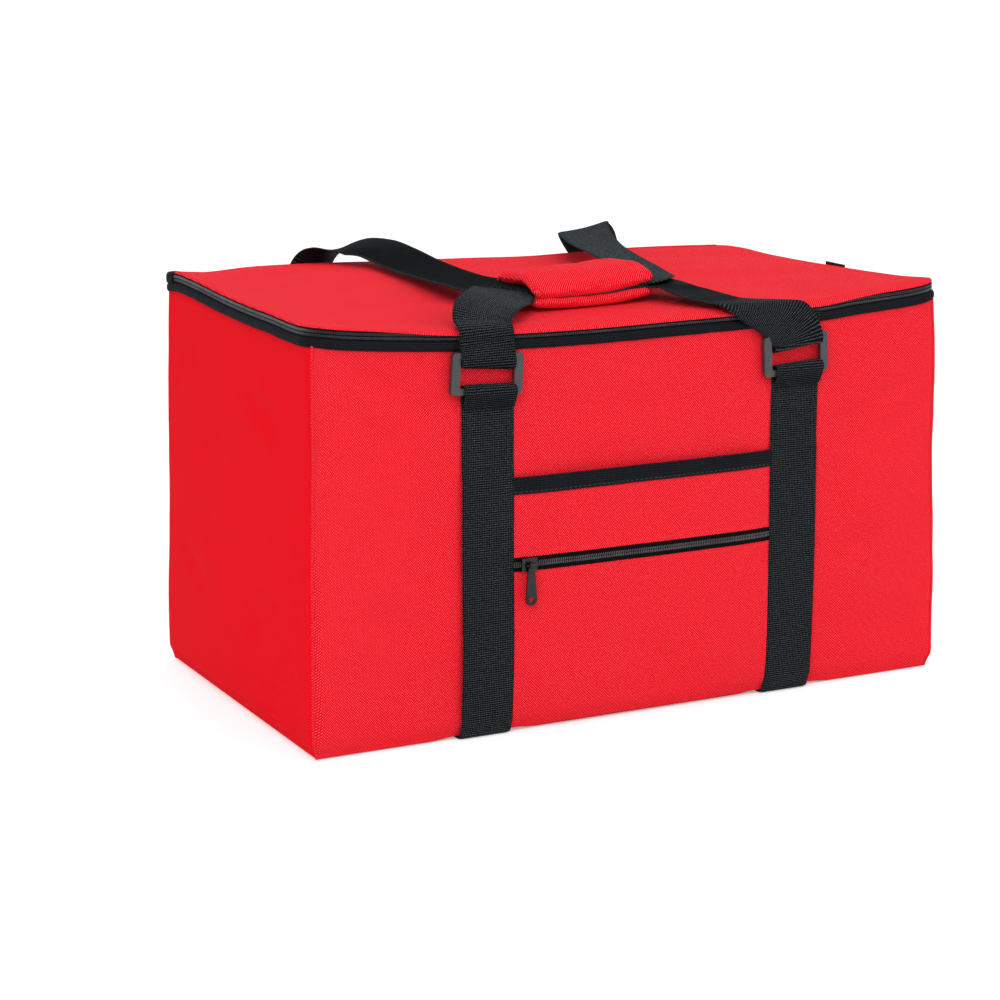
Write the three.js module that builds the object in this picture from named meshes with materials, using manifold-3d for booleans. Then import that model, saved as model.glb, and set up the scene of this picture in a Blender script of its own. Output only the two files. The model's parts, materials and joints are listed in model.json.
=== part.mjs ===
// Insulated lunch bag: a cloth box with foam walls, a zipped lid, a flat pocket on its front, and two
// webbing handles whose middles are held together in one padded grip on the lid.
// Millimetres. X runs along the long side, the front faces -Y, Z points up and the floor is z = 0.

import * as THREE from "three";
import { mergeVertices } from "three/addons/utils/BufferGeometryUtils.js";
import Module from "manifold-3d";

const wasm = await Module();
wasm.setup();

// Sizes of the whole bag
const bagWidth = 457.2;
const bagDepth = 254;
const lidHeight = 271.2;
const handleRise = 20.9;

// Sheet thicknesses and the gap kept between touching pieces
const clothThickness = 1.2;
const foamThickness = 8;
const linerThickness = 0.5;
const boardThickness = 2;
const tapeThickness = 1;
const webThickness = 1.6;
const seamGap = 0.3;

// Rim: the bound top edge of the walls and the zip above it
const rimCornerRadius = 20;
const rimSag = 11;
const rightDrop = 8;
const lidDome = 2;
const bindingHeight = 7;
const bindingThickness = 3;
const bindingProud = 1.4;
const bindingChamfer = 0.8;
const coilHeight = 2.9;
const coilThickness = 2.6;
const coilProud = 1;
const coilChamfer = 0.6;
const bodyTapeBelow = 6;
const weltRadius = 1.6;

// Sliders of the zips
const sliderLength = 11;
const sliderHeight = 8.4;
const sliderPlate = 1.2;
const sliderWall = 1.4;
const bridgeBar = 1.1;
const bridgeSpan = 7;
const bridgeRise = 2.7;
const sliderClearance = 0.25;
const zipSliderSpacing = 12;
const pullLength = 26;
const pullWidth = 8;
const pullNeck = 4.2;
const pullThickness = 1.1;
const pullHole = 3.6;
const eyeWall = 0.8;
const eyeLength = 3.4;

// Straps and the loops at their ends
const strapWidth = 35;
const strapSpacing = 224;
const loopBarHeight = 4.2;
const loopDepth = 3.2;
const loopInnerWidth = 37.2;
const loopRail = 5.8;
const loopCorner = 2.6;
const loopBelowLid = 32.2;
const loopBarSpacing = 22;
const webTurnRadius = 2.3;
const webTurnStretch = 1.8;
const strapTail = 8;

// Handles and grip
const handleWidth = 36;
const handleTail = 16;
const rightHandleLean = 12;
const foldClearance = 1.1;
const foldLead = 9;
const gripLength = 95;
const gripDepth = 47;
const gripCentreX = -18;
const gripCentreY = -62;
const gripLowerThickness = 6;
const gripUpperThickness = 7;
const gripEdgeShare = 0.45;
const gripStripWidth = 7.6;
const gripStripInset = 3;
const webSetBack = 3;
const gripSlack = 0.8;
const leadRise = 0.5;

// Pocket
const pocketGap = 4.4;
const pocketLiningThickness = 0.6;
const pocketTop = 165.5;
const pocketBindingHeight = 11;
const pocketBindingThickness = 2.6;
const pocketZipZ = 110;
const pocketTapeHeight = 4.1;
const pocketTapeThickness = 0.8;
const pocketCoilHeight = 1.8;
const pocketCoilRise = 1.2;
const pocketSliderInset = 10;

// Worked out from the sizes above
const halfWidth = bagWidth / 2 - bindingProud;
const halfDepth = bagDepth / 2 - bindingProud;
const strapX = strapSpacing / 2;
const clothBottom = webThickness + seamGap;
const boardBottom = clothBottom + clothThickness + seamGap;
const baseFoamBottom = boardBottom + boardThickness + seamGap;
const wallFoamBottom = baseFoamBottom + foamThickness + seamGap;
const foamInset = clothThickness + tapeThickness + 2 * seamGap;
const linerInset = foamInset + foamThickness + seamGap;
const weltInset = 2 * weltRadius + seamGap;
const upperBarZ = lidHeight - loopBelowLid;
const lowerBarZ = upperBarZ - loopBarSpacing;
const maxTop = lidHeight + foamThickness;
const cutTop = maxTop + foamThickness;

// Heights below the lid's edge, from the top down
const lidCoilTop = -(clothThickness + seamGap);
const lidCoilBottom = lidCoilTop - coilHeight;
const bodyCoilTop = lidCoilBottom - seamGap;
const bodyCoilBottom = bodyCoilTop - coilHeight;
const bindingTop = bodyCoilBottom - seamGap;
const bindingBottom = bindingTop - bindingHeight;
const wallTop = bindingBottom - seamGap;
const lidFoamTop = -(clothThickness + seamGap);
const lidLinerTop = lidFoamTop - foamThickness - seamGap;
const wallFoamTop = lidLinerTop - linerThickness - seamGap;

// The sharpest bend of a folded band keeps its thickness up to this share
const leastTurnShare = 0.5;

// Powers of the curves that shape the rim's sag and the grip's rounded edges
const sagPower = 3;
const dropStartShare = 0.62;
const gripEndPower = 8;
const gripSidePower = 4;

// Numbers of steps
const frontSteps = 12;
const sideSteps = 4;
const cornerSteps = 4;
const turnSteps = 8;
const webSpanSteps = 3;
const eyeSides = 8;
const cornerArcSteps = 3;

// Materials
const redCloth = { color: 0xd90f22, roughness: 0.9, metalness: 0 };
const blackWeb = { color: 0x16181b, roughness: 0.85, metalness: 0 };
const blackZip = { color: 0x101114, roughness: 0.6, metalness: 0 };
const greyPlastic = { color: 0x3c3f43, roughness: 0.5, metalness: 0 };
const blackMetal = { color: 0x1b1c1e, roughness: 0.4, metalness: 0.7 };
const whiteFoam = { color: 0xe8e8e4, roughness: 0.95, metalness: 0 };
const silverLiner = { color: 0xc4c8cc, roughness: 0.3, metalness: 0.6 };
const blackBoard = { color: 0x222222, roughness: 0.8, metalness: 0 };
const blackHook = { color: 0x0c0c0c, roughness: 1, metalness: 0 };

const bag = new THREE.Group();
const lidGroup = new THREE.Group();
const frontHandleGroup = new THREE.Group();
const backHandleGroup = new THREE.Group();
bag.add(lidGroup, frontHandleGroup, backHandleGroup);

// Adds a named mesh with its own material to a group.
function addPiece(group, name, geometry, look) {
  const mesh = new THREE.Mesh(geometry, new THREE.MeshStandardMaterial(look));
  mesh.name = name;
  group.add(mesh);
  return mesh;
}

// A closed surface from points and triangles, turned so that its faces point outwards.
function closedSurface(points, triangles) {
  let volume = 0;
  for (const [a, b, c] of triangles) {
    const cross = new THREE.Vector3().crossVectors(points[b], points[c]);
    volume += points[a].dot(cross);
  }
  const outward = volume < 0 ? triangles.map(([a, b, c]) => [a, c, b]) : triangles;
  const geometry = new THREE.BufferGeometry();
  const flat = points.flatMap((point) => [point.x, point.y, point.z]);
  geometry.setAttribute("position", new THREE.Float32BufferAttribute(flat, 3));
  geometry.setIndex(outward.flat());
  return geometry;
}

// A manifold-3d solid of a closed geometry.
function solidOf(geometry) {
  const bare = new THREE.BufferGeometry();
  const plain = geometry.index ? geometry.toNonIndexed() : geometry;
  bare.setAttribute("position", plain.getAttribute("position"));
  const merged = mergeVertices(bare, seamGap / 1000);
  const triVerts = new Uint32Array(merged.index.array);
  const vertProperties = merged.attributes.position.array;
  return new wasm.Manifold(new wasm.Mesh({ numProp: 3, vertProperties, triVerts }));
}

function geometryOf(solid) {
  const { vertProperties, triVerts, numProp } = solid.getMesh();
  const geometry = new THREE.BufferGeometry();
  const flat = [];
  for (let i = 0; i < vertProperties.length; i += numProp) {
    flat.push(vertProperties[i], vertProperties[i + 1], vertProperties[i + 2]);
  }
  geometry.setAttribute("position", new THREE.Float32BufferAttribute(flat, 3));
  geometry.setIndex([...triVerts]);
  return geometry;
}

function cut(geometry, ...cutters) {
  return geometryOf(cutters.reduce((solid, cutter) => solid.subtract(solidOf(cutter)), solidOf(geometry)));
}

function join(geometry, ...others) {
  return geometryOf(others.reduce((solid, other) => solid.add(solidOf(other)), solidOf(geometry)));
}

// A box between two corners.
function boxBetween(x0, x1, y0, y1, z0, z1) {
  const box = new THREE.BoxGeometry(x1 - x0, y1 - y0, z1 - z0);
  box.translate((x0 + x1) / 2, (y0 + y1) / 2, (z0 + z1) / 2);
  return box;
}

// A slab on a grid: upper(x, y) and lower(x, y) give the two faces' points at the grid's lines.
function gridSlab(xLines, yLines, upper, lower) {
  const points = [];
  for (const face of [upper, lower]) {
    for (const y of yLines) {
      for (const x of xLines) {
        points.push(face(x, y));
      }
    }
  }
  const columns = xLines.length;
  const rows = yLines.length;
  const layer = columns * rows;
  const triangles = [];
  for (let row = 0; row < rows - 1; row++) {
    for (let column = 0; column < columns - 1; column++) {
      const a = row * columns + column;
      const b = a + 1;
      const c = a + columns + 1;
      const d = a + columns;
      triangles.push([a, b, c], [a, c, d]);
      triangles.push([layer + a, layer + c, layer + b], [layer + a, layer + d, layer + c]);
    }
  }
  const border = [];
  for (let column = 0; column < columns - 1; column++) border.push(column);
  for (let row = 0; row < rows - 1; row++) border.push(row * columns + columns - 1);
  for (let column = columns - 1; column > 0; column--) border.push((rows - 1) * columns + column);
  for (let row = rows - 1; row > 0; row--) border.push(row * columns);
  border.forEach((start, i) => {
    const end = border[(i + 1) % border.length];
    triangles.push([start, layer + start, layer + end], [start, layer + end, end]);
  });
  return closedSurface(points, triangles);
}

// A solid swept through a list of sections, each with the same number of corners.
function sweptSolid(sections, closedPath) {
  const corners = sections[0].length;
  const points = sections.flat();
  const triangles = [];
  const spans = closedPath ? sections.length : sections.length - 1;
  for (let i = 0; i < spans; i++) {
    const here = i * corners;
    const next = ((i + 1) % sections.length) * corners;
    for (let k = 0; k < corners; k++) {
      const l = (k + 1) % corners;
      triangles.push([here + k, next + k, next + l], [here + k, next + l, here + l]);
    }
  }
  if (!closedPath) {
    const last = (sections.length - 1) * corners;
    for (let k = 1; k < corners - 1; k++) {
      triangles.push([0, k, k + 1], [last, last + k + 1, last + k]);
    }
  }
  return closedSurface(points, triangles);
}

// A band of constant thickness along a line of (distance, height) points, made wide along X.
function foldedBand(line, thickness, width, centreX, lean = () => 0) {
  const sides = [1, -1].map((side) => {
    return line.map((point, i) => {
      const before = line[Math.max(i - 1, 0)];
      const after = line[Math.min(i + 1, line.length - 1)];
      const inward = new THREE.Vector2().subVectors(point, before);
      const outward = new THREE.Vector2().subVectors(after, point);
      if (i === 0) inward.copy(outward);
      if (i === line.length - 1) outward.copy(inward);
      inward.normalize();
      outward.normalize();
      const along = inward.clone().add(outward).normalize();
      const stretch = 1 / Math.max(along.dot(outward), leastTurnShare);
      const offset = (side * stretch * thickness) / 2;
      return new THREE.Vector2(point.x - along.y * offset, point.y + along.x * offset);
    });
  });
  const outline = [...sides[0], ...sides[1].reverse()];
  const band = new THREE.ExtrudeGeometry(new THREE.Shape(outline), { depth: width, bevelEnabled: false });
  const alongY = new THREE.Vector3(0, 1, 0);
  const alongZ = new THREE.Vector3(0, 0, 1);
  const alongX = new THREE.Vector3(1, 0, 0);
  band.applyMatrix4(new THREE.Matrix4().makeBasis(alongY, alongZ, alongX));
  band.translate(centreX - width / 2, 0, 0);
  const place = band.getAttribute("position");
  for (let i = 0; i < place.count; i++) {
    place.setX(i, place.getX(i) + lean(place.getZ(i)));
  }
  return band;
}

// Shape of the lid

// How far the front of the rim hangs below its corners at x.
function sagAt(x) {
  const share = Math.min(Math.abs(x) / (halfWidth - rimCornerRadius), 1);
  return rimSag * (1 - share ** sagPower);
}

// How far the right end of the rim hangs, more and more towards the back.
function dropAt(x, y) {
  const xShare = Math.max(x / halfWidth - dropStartShare, 0) / (1 - dropStartShare);
  const backShare = (halfDepth + y) / (2 * halfDepth);
  return rightDrop * xShare * backShare;
}

// Height of the lid's upper face, sagging towards the front and domed in the middle.
function lidTop(x, y) {
  const xShare = Math.min(Math.abs(x) / (halfWidth - rimCornerRadius), 1);
  const yShare = Math.min(Math.abs(y) / (halfDepth - rimCornerRadius), 1);
  const frontShare = (halfDepth - y) / (2 * halfDepth);
  const dome = lidDome * (1 - xShare ** 2) * (1 - yShare ** 2);
  return lidHeight - sagAt(x) * frontShare - dropAt(x, y) + dome;
}

function evenLines(from, to, steps) {
  return Array.from({ length: steps + 1 }, (_, i) => from + ((to - from) * i) / steps);
}

// Grid lines across the lid, with a corner cell as large as the rim's corner radius.
function lidLines(half, steps, inset) {
  const inner = half - rimCornerRadius;
  return [inset - half, ...evenLines(-inner, inner, steps), half - inset];
}

// A sheet that follows the lid's underside between two depths below its upper face.
function lidSheet(inset, from, to) {
  const xLines = lidLines(halfWidth, frontSteps, inset);
  const yLines = lidLines(halfDepth, sideSteps, inset);
  const pull = (rimCornerRadius - inset) * (1 - Math.SQRT1_2);
  const face = (depth) => (x, y) => {
    const atCorner = Math.abs(x) === halfWidth - inset && Math.abs(y) === halfDepth - inset;
    const pulledX = atCorner ? x - Math.sign(x) * pull : x;
    const pulledY = atCorner ? y - Math.sign(y) * pull : y;
    return new THREE.Vector3(pulledX, pulledY, lidTop(pulledX, pulledY) + depth);
  };
  return gridSlab(xLines, yLines, face(from), face(to));
}

// Everything above a depth below the lid's upper face, used to cut what stands under it.
function spaceAbove(depth) {
  const reach = foamThickness;
  const xLines = [-halfWidth - reach, ...lidLines(halfWidth, frontSteps, 0), halfWidth + reach];
  const yLines = [-halfDepth - reach, ...lidLines(halfDepth, sideSteps, 0), halfDepth + reach];
  const upper = (x, y) => new THREE.Vector3(x, y, cutTop);
  const lower = (x, y) => {
    const heldX = THREE.MathUtils.clamp(x, -halfWidth, halfWidth);
    const heldY = THREE.MathUtils.clamp(y, -halfDepth, halfDepth);
    return new THREE.Vector3(x, y, lidTop(heldX, heldY) + depth);
  };
  return gridSlab(xLines, yLines, upper, lower);
}

// Stations round the rim's outline, each with its place and outward direction.
function straightRun(x0, y0, x1, y1, steps, outX, outY) {
  const ends = evenLines(0, 1, steps);
  return ends.map((t) => ({ x: x0 + (x1 - x0) * t, y: y0 + (y1 - y0) * t, outX, outY }));
}

function cornerRun(signX, signY, startTurn) {
  const turns = evenLines(startTurn, startTurn + 1, cornerSteps).slice(1, -1);
  return turns.map((turn) => {
    const outX = Math.cos((turn * Math.PI) / 2);
    const outY = Math.sin((turn * Math.PI) / 2);
    const x = signX * (halfWidth - rimCornerRadius) + outX * rimCornerRadius;
    const y = signY * (halfDepth - rimCornerRadius) + outY * rimCornerRadius;
    return { x, y, outX, outY };
  });
}

const innerX = halfWidth - rimCornerRadius;
const innerY = halfDepth - rimCornerRadius;
const leftRun = straightRun(-halfWidth, innerY, -halfWidth, -innerY, sideSteps, -1, 0);
const frontRun = straightRun(-innerX, -halfDepth, innerX, -halfDepth, frontSteps, 0, -1);
const rightRun = straightRun(halfWidth, -innerY, halfWidth, innerY, sideSteps, 1, 0);
const backRun = straightRun(innerX, halfDepth, -innerX, halfDepth, frontSteps, 0, 1);
const zipRun = [...leftRun, ...cornerRun(-1, -1, 2), ...frontRun, ...cornerRun(1, -1, 3), ...rightRun];
const wholeRun = [...zipRun, ...cornerRun(1, 1, 0), ...backRun, ...cornerRun(-1, 1, 1)];

// Sweeps a section of [outward distance, height below the lid's edge] points along the rim.
function rimBand(run, section, closedPath = false) {
  const sections = run.map((station) => {
    return section.map(([out, depth]) => {
      const x = station.x + station.outX * out;
      const y = station.y + station.outY * out;
      return new THREE.Vector3(x, y, lidTop(station.x, station.y) + depth);
    });
  });
  return sweptSolid(sections, closedPath);
}

function rectangleSection(inner, outer, bottom, top) {
  return [[inner, bottom], [outer, bottom], [outer, top], [inner, top]];
}

// The same with its two outer corners cut off.
function chamferedSection(inner, outer, bottom, top, chamfer) {
  return [
    [inner, bottom],
    [outer - chamfer, bottom],
    [outer, bottom + chamfer],
    [outer, top - chamfer],
    [outer - chamfer, top],
    [inner, top],
  ];
}

// Body of the bag

function makeClothWalls() {
  const aboveWall = spaceAbove(wallTop);
  const xEnd = halfWidth - weltInset;
  const yEnd = halfDepth - weltInset;
  const inside = halfDepth - clothThickness;
  const insideX = halfWidth - clothThickness;
  const walls = {
    front_panel: boxBetween(-xEnd, xEnd, -halfDepth, -inside, clothBottom, maxTop),
    back_panel: boxBetween(-xEnd, xEnd, inside, halfDepth, clothBottom, maxTop),
    left_side_panel: boxBetween(-halfWidth, -insideX, -yEnd, yEnd, clothBottom, maxTop),
    right_side_panel: boxBetween(insideX, halfWidth, -yEnd, yEnd, clothBottom, maxTop),
  };
  for (const [name, box] of Object.entries(walls)) {
    addPiece(bag, name, cut(box, aboveWall), redCloth);
  }
  const baseX = halfWidth - clothThickness - seamGap;
  const baseY = halfDepth - clothThickness - seamGap;
  const base = boxBetween(-baseX, baseX, -baseY, baseY, clothBottom, clothBottom + clothThickness);
  addPiece(bag, "base_panel", base, redCloth);
}

function makeCornerWelts() {
  const bottom = boardBottom;
  for (const [xName, xSign] of [["left", -1], ["right", 1]]) {
    for (const [yName, ySign] of [["front", -1], ["back", 1]]) {
      const x = xSign * (halfWidth - weltRadius);
      const y = ySign * (halfDepth - weltRadius);
      const top = lidTop(x, y) + wallTop;
      const welt = new THREE.CylinderGeometry(weltRadius, weltRadius, top - bottom, eyeSides);
      welt.rotateX(Math.PI / 2);
      welt.translate(x, y, (top + bottom) / 2);
      addPiece(bag, `corner_welt_${yName}_${xName}`, welt, redCloth);
    }
  }
}

function makeFoam() {
  const keepOutTop = foamThickness;
  const keepOutBottom = wallTop - bodyTapeBelow - seamGap;
  const section = rectangleSection(-foamInset, foamThickness, keepOutBottom, keepOutTop);
  const rimSpace = rimBand(wholeRun, section, true);
  const aboveFoam = spaceAbove(wallFoamTop);
  const outX = halfWidth - foamInset;
  const outY = halfDepth - foamInset;
  const inX = outX - foamThickness;
  const inY = outY - foamThickness;
  const cornerX = halfWidth - weltInset;
  const endY = inY - seamGap;
  const foam = {
    front_foam: boxBetween(-cornerX, cornerX, -outY, -inY, wallFoamBottom, maxTop),
    back_foam: boxBetween(-cornerX, cornerX, inY, outY, wallFoamBottom, maxTop),
    left_side_foam: boxBetween(-outX, -inX, -endY, endY, wallFoamBottom, maxTop),
    right_side_foam: boxBetween(inX, outX, -endY, endY, wallFoamBottom, maxTop),
  };
  for (const [name, box] of Object.entries(foam)) {
    addPiece(bag, name, cut(box, aboveFoam, rimSpace), whiteFoam);
  }
  const x = cornerX;
  const y = halfDepth - weltInset;
  const baseTop = baseFoamBottom + foamThickness;
  addPiece(bag, "base_foam", boxBetween(-x, x, -y, y, baseFoamBottom, baseTop), whiteFoam);
  const boardTop = boardBottom + boardThickness;
  addPiece(bag, "base_board", boxBetween(-x, x, -y, y, boardBottom, boardTop), blackBoard);
}

function makeLiner() {
  const x = halfWidth - linerInset;
  const y = halfDepth - linerInset;
  const outer = boxBetween(-x, x, -y, y, wallFoamBottom, maxTop);
  const innerX = x - linerThickness;
  const innerY = y - linerThickness;
  const floor = wallFoamBottom + linerThickness;
  const inner = boxBetween(-innerX, innerX, -innerY, innerY, floor, cutTop);
  addPiece(bag, "liner_tub", cut(outer, inner, spaceAbove(wallFoamTop)), silverLiner);
}

// Rim, zip and lid

function makeRim() {
  const bindingInner = bindingProud - bindingThickness;
  const bindingShape = chamferedSection(
    bindingInner,
    bindingProud,
    bindingBottom,
    bindingTop,
    bindingChamfer,
  );
  addPiece(bag, "rim_binding", rimBand(wholeRun, bindingShape, true), blackWeb);
  const tapeOuter = -(clothThickness + seamGap);
  const tapeInner = tapeOuter - tapeThickness;
  const tapeBottom = wallTop - bodyTapeBelow;
  const bodyTape = rectangleSection(tapeInner, tapeOuter - coilShift(), tapeBottom, bodyCoilTop);
  addPiece(bag, "body_zip_tape", rimBand(zipRun, bodyTape), blackZip);
  const lidTape = rectangleSection(tapeInner, tapeOuter - coilShift(), lidCoilBottom, lidCoilTop);
  addPiece(lidGroup, "lid_zip_tape", rimBand(zipRun, lidTape), blackZip);
  const coil = (bottom, top) => {
    return chamferedSection(coilProud - coilThickness, coilProud, bottom, top, coilChamfer);
  };
  addPiece(bag, "body_zip_coil", rimBand(zipRun, coil(bodyCoilBottom, bodyCoilTop)), blackZip);
  addPiece(lidGroup, "lid_zip_coil", rimBand(zipRun, coil(lidCoilBottom, lidCoilTop)), blackZip);
}

// How far the tapes stand behind the coils, which reach further in than the cloth does.
function coilShift() {
  return Math.max(coilThickness - coilProud - clothThickness, 0);
}

function makeHinge() {
  const section = rectangleSection(-clothThickness, 0, bindingTop + seamGap, lidCoilTop);
  const strip = backRun.filter((station) => Math.abs(station.x) < innerX);
  addPiece(bag, "lid_hinge_strip", rimBand(strip, section), redCloth);
  const tab = chamferedSection(
    coilProud - coilThickness,
    coilProud,
    bodyCoilBottom,
    lidCoilTop,
    coilChamfer,
  );
  addPiece(bag, "zip_end_tab_left", rimBand(cornerRun(-1, 1, 1), tab), blackWeb);
  addPiece(bag, "zip_end_tab_right", rimBand(cornerRun(1, 1, 0), tab), blackWeb);
}

function makeLid() {
  addPiece(lidGroup, "lid_panel", lidSheet(0, 0, -clothThickness), redCloth);
  const lidInset = foamInset + coilShift();
  const foam = lidSheet(lidInset, lidFoamTop, lidFoamTop - foamThickness);
  addPiece(lidGroup, "lid_foam", foam, whiteFoam);
  const liner = lidSheet(lidInset, lidLinerTop, lidLinerTop - linerThickness);
  addPiece(lidGroup, "lid_liner", liner, silverLiner);
}

// Straps, loops and handles

// A half turn of webbing round a bar, from one side to the other, over it or under it.
function halfTurn(centre, height, radius, upward) {
  return evenLines(0, 1, turnSteps).map((t) => {
    const angle = Math.PI * t;
    const rise = upward ? Math.sin(angle) : -Math.sin(angle);
    return new THREE.Vector2(centre - radius * Math.cos(angle), height + radius * rise);
  });
}

const webRadius = webTurnRadius + webThickness / 2;
const wallWebY = halfDepth + seamGap + webThickness / 2;
const loopY = wallWebY + webRadius;
const outerWebY = loopY + webRadius;
const rimWebY = halfDepth + bindingProud + seamGap + webThickness / 2;
const layerPitch = webThickness + seamGap;

// Half of a strap's line, from the middle of the base up to its tail below the loop's lower bar.
function strapHalf() {
  const floorZ = webThickness / 2;
  const turnZ = lowerBarZ + webTurnStretch;
  const tailY = wallWebY + layerPitch;
  const turnEnd = lowerBarZ - webTurnStretch;
  const tuckZ = turnEnd - 2 * webRadius;
  const tuckMiddle = new THREE.Vector2((outerWebY + tailY) / 2 + seamGap, turnEnd - webRadius);
  return [
    new THREE.Vector2(wallWebY, floorZ),
    ...halfTurn(loopY, turnZ, webRadius, true),
    new THREE.Vector2(outerWebY, turnEnd),
    tuckMiddle,
    new THREE.Vector2(tailY, tuckZ),
    new THREE.Vector2(tailY, tuckZ - strapTail),
  ];
}

function makeStraps() {
  const half = strapHalf();
  const mirrored = half.map((point) => new THREE.Vector2(-point.x, point.y));
  const line = [...mirrored.reverse(), ...half];
  for (const [name, sign] of [["left", -1], ["right", 1]]) {
    addPiece(bag, `strap_${name}`, foldedBand(line, webThickness, strapWidth, sign * strapX), blackWeb);
  }
}

function roundedRectangle(width, height, radius) {
  const shape = new THREE.Shape();
  const x = width / 2;
  const y = height / 2;
  shape.moveTo(radius - x, -y);
  shape.lineTo(x - radius, -y);
  shape.absarc(x - radius, radius - y, radius, -Math.PI / 2, 0);
  shape.lineTo(x, y - radius);
  shape.absarc(x - radius, y - radius, radius, 0, Math.PI / 2);
  shape.lineTo(radius - x, y);
  shape.absarc(radius - x, y - radius, radius, Math.PI / 2, Math.PI);
  shape.lineTo(-x, radius - y);
  shape.absarc(radius - x, radius - y, radius, Math.PI, (3 * Math.PI) / 2);
  return shape;
}

function makeLoops() {
  const outerWidth = loopInnerWidth + 2 * loopRail;
  const outerHeight = loopBarSpacing + loopBarHeight;
  const shape = roundedRectangle(outerWidth, outerHeight, loopCorner);
  const x = loopInnerWidth / 2;
  const z = (loopBarSpacing - loopBarHeight) / 2;
  const corners = [[-x, -z], [-x, z], [x, z], [x, -z]];
  shape.holes.push(new THREE.Path(corners.map(([a, b]) => new THREE.Vector2(a, b))));
  const options = { depth: loopDepth, bevelEnabled: false, curveSegments: cornerArcSteps };
  for (const [xName, xSign] of [["left", -1], ["right", 1]]) {
    for (const [yName, ySign] of [["front", -1], ["back", 1]]) {
      const frame = new THREE.ExtrudeGeometry(shape, options);
      frame.translate(0, 0, -loopDepth / 2);
      frame.rotateX(Math.PI / 2);
      frame.translate(xSign * strapX, ySign * loopY, (lowerBarZ + upperBarZ) / 2);
      addPiece(bag, `${yName}_${xName}_loop`, frame, greyPlastic);
    }
  }
}

// Height of a handle's fold over the rim: just above the lid's edge at the web's outer side.
function foldHeight(ySign) {
  const outerX = strapX + handleWidth / 2 + rightHandleLean;
  return lidTop(outerX, ySign * halfDepth) + seamGap + webThickness / 2;
}

// A handle's lower piece, from its tail round the loop's upper bar and up to the fold.
function legLine(ySign) {
  const foldZ = foldHeight(ySign);
  const turnZ = upperBarZ - webTurnStretch;
  const bindingZ = lidTop(strapX, ySign * halfDepth) + bindingBottom;
  const leanZ = Math.min(bindingZ, foldZ) - webThickness;
  const line = [
    new THREE.Vector2(rimWebY, foldZ - foldClearance),
    new THREE.Vector2(rimWebY, leanZ),
    new THREE.Vector2(wallWebY, upperBarZ + webTurnStretch),
    ...halfTurn(loopY, turnZ, webRadius, false),
    new THREE.Vector2(outerWebY, upperBarZ + webTurnStretch),
    new THREE.Vector2(rimWebY + layerPitch + seamGap, leanZ),
    new THREE.Vector2(rimWebY + layerPitch + seamGap, upperBarZ + handleTail),
  ];
  return line.map((point) => new THREE.Vector2(ySign * point.x, point.y));
}

function makeLegs(group, yName, ySign) {
  const line = legLine(ySign);
  const startZ = upperBarZ + webRadius;
  for (const [xName, xSign] of [["left", -1], ["right", 1]]) {
    const leans = yName === "front" && xName === "right";
    const reach = foldHeight(ySign) - startZ;
    const lean = (z) => (leans ? (-rightHandleLean * Math.max(z - startZ, 0)) / reach : 0);
    const leg = foldedBand(line, webThickness, handleWidth, xSign * strapX, lean);
    addPiece(group, `${yName}_${xName}_leg`, leg, blackWeb);
  }
}

// A flat band of webbing through stations of a centre and the direction of its width.
function webAlong(centres, widths) {
  const path = new THREE.CatmullRomCurve3(centres, false, "centripetal");
  const spans = centres.length - 1;
  const sections = evenLines(0, spans, spans * webSpanSteps).map((place) => {
    const centre = path.getPoint(place / spans);
    const along = path.getTangent(place / spans);
    const before = Math.min(Math.floor(place), widths.length - 2);
    const across = new THREE.Vector3().lerpVectors(widths[before], widths[before + 1], place - before);
    across.addScaledVector(along, -across.dot(along)).normalize();
    const normal = new THREE.Vector3().crossVectors(along, across);
    return [[-1, -1], [1, -1], [1, 1], [-1, 1]].map(([side, face]) => {
      const corner = centre.clone().addScaledVector(across, (side * handleWidth) / 2);
      return corner.addScaledVector(normal, (face * webThickness) / 2);
    });
  });
  return sweptSolid(sections, false);
}

const gripBottom = gripFloor();
const gripInside = gripBottom + gripLowerThickness;
const frontWebZ = gripInside + gripSlack + webThickness / 2;
const backWebZ = frontWebZ + webThickness + gripSlack;
const gripUpperBottom = backWebZ + webThickness / 2 + gripSlack;

// The lid's highest point under the grip, with the gap above it.
function gripFloor() {
  const xs = evenLines(gripCentreX - gripLength / 2, gripCentreX + gripLength / 2, sideSteps);
  const ys = evenLines(gripCentreY - gripDepth / 2, gripCentreY + gripDepth / 2, sideSteps);
  const heights = xs.flatMap((x) => ys.map((y) => lidTop(x, y)));
  return Math.max(...heights) + seamGap;
}

// A route's stations: shares of the straps' half spacing, of the half depth and of the handles' rise,
// then the direction of the web's width. Heights start from the lid's upper face.
function routeStations(route) {
  const centres = route.map(([xShare, yShare, riseShare]) => {
    const x = xShare * strapX;
    const y = yShare * halfDepth;
    return new THREE.Vector3(x, y, lidTop(x, y) + webThickness + riseShare * handleRise);
  });
  const widths = route.map(([, , , x, y, z]) => new THREE.Vector3(x, y, z).normalize());
  return { centres, widths };
}

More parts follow.
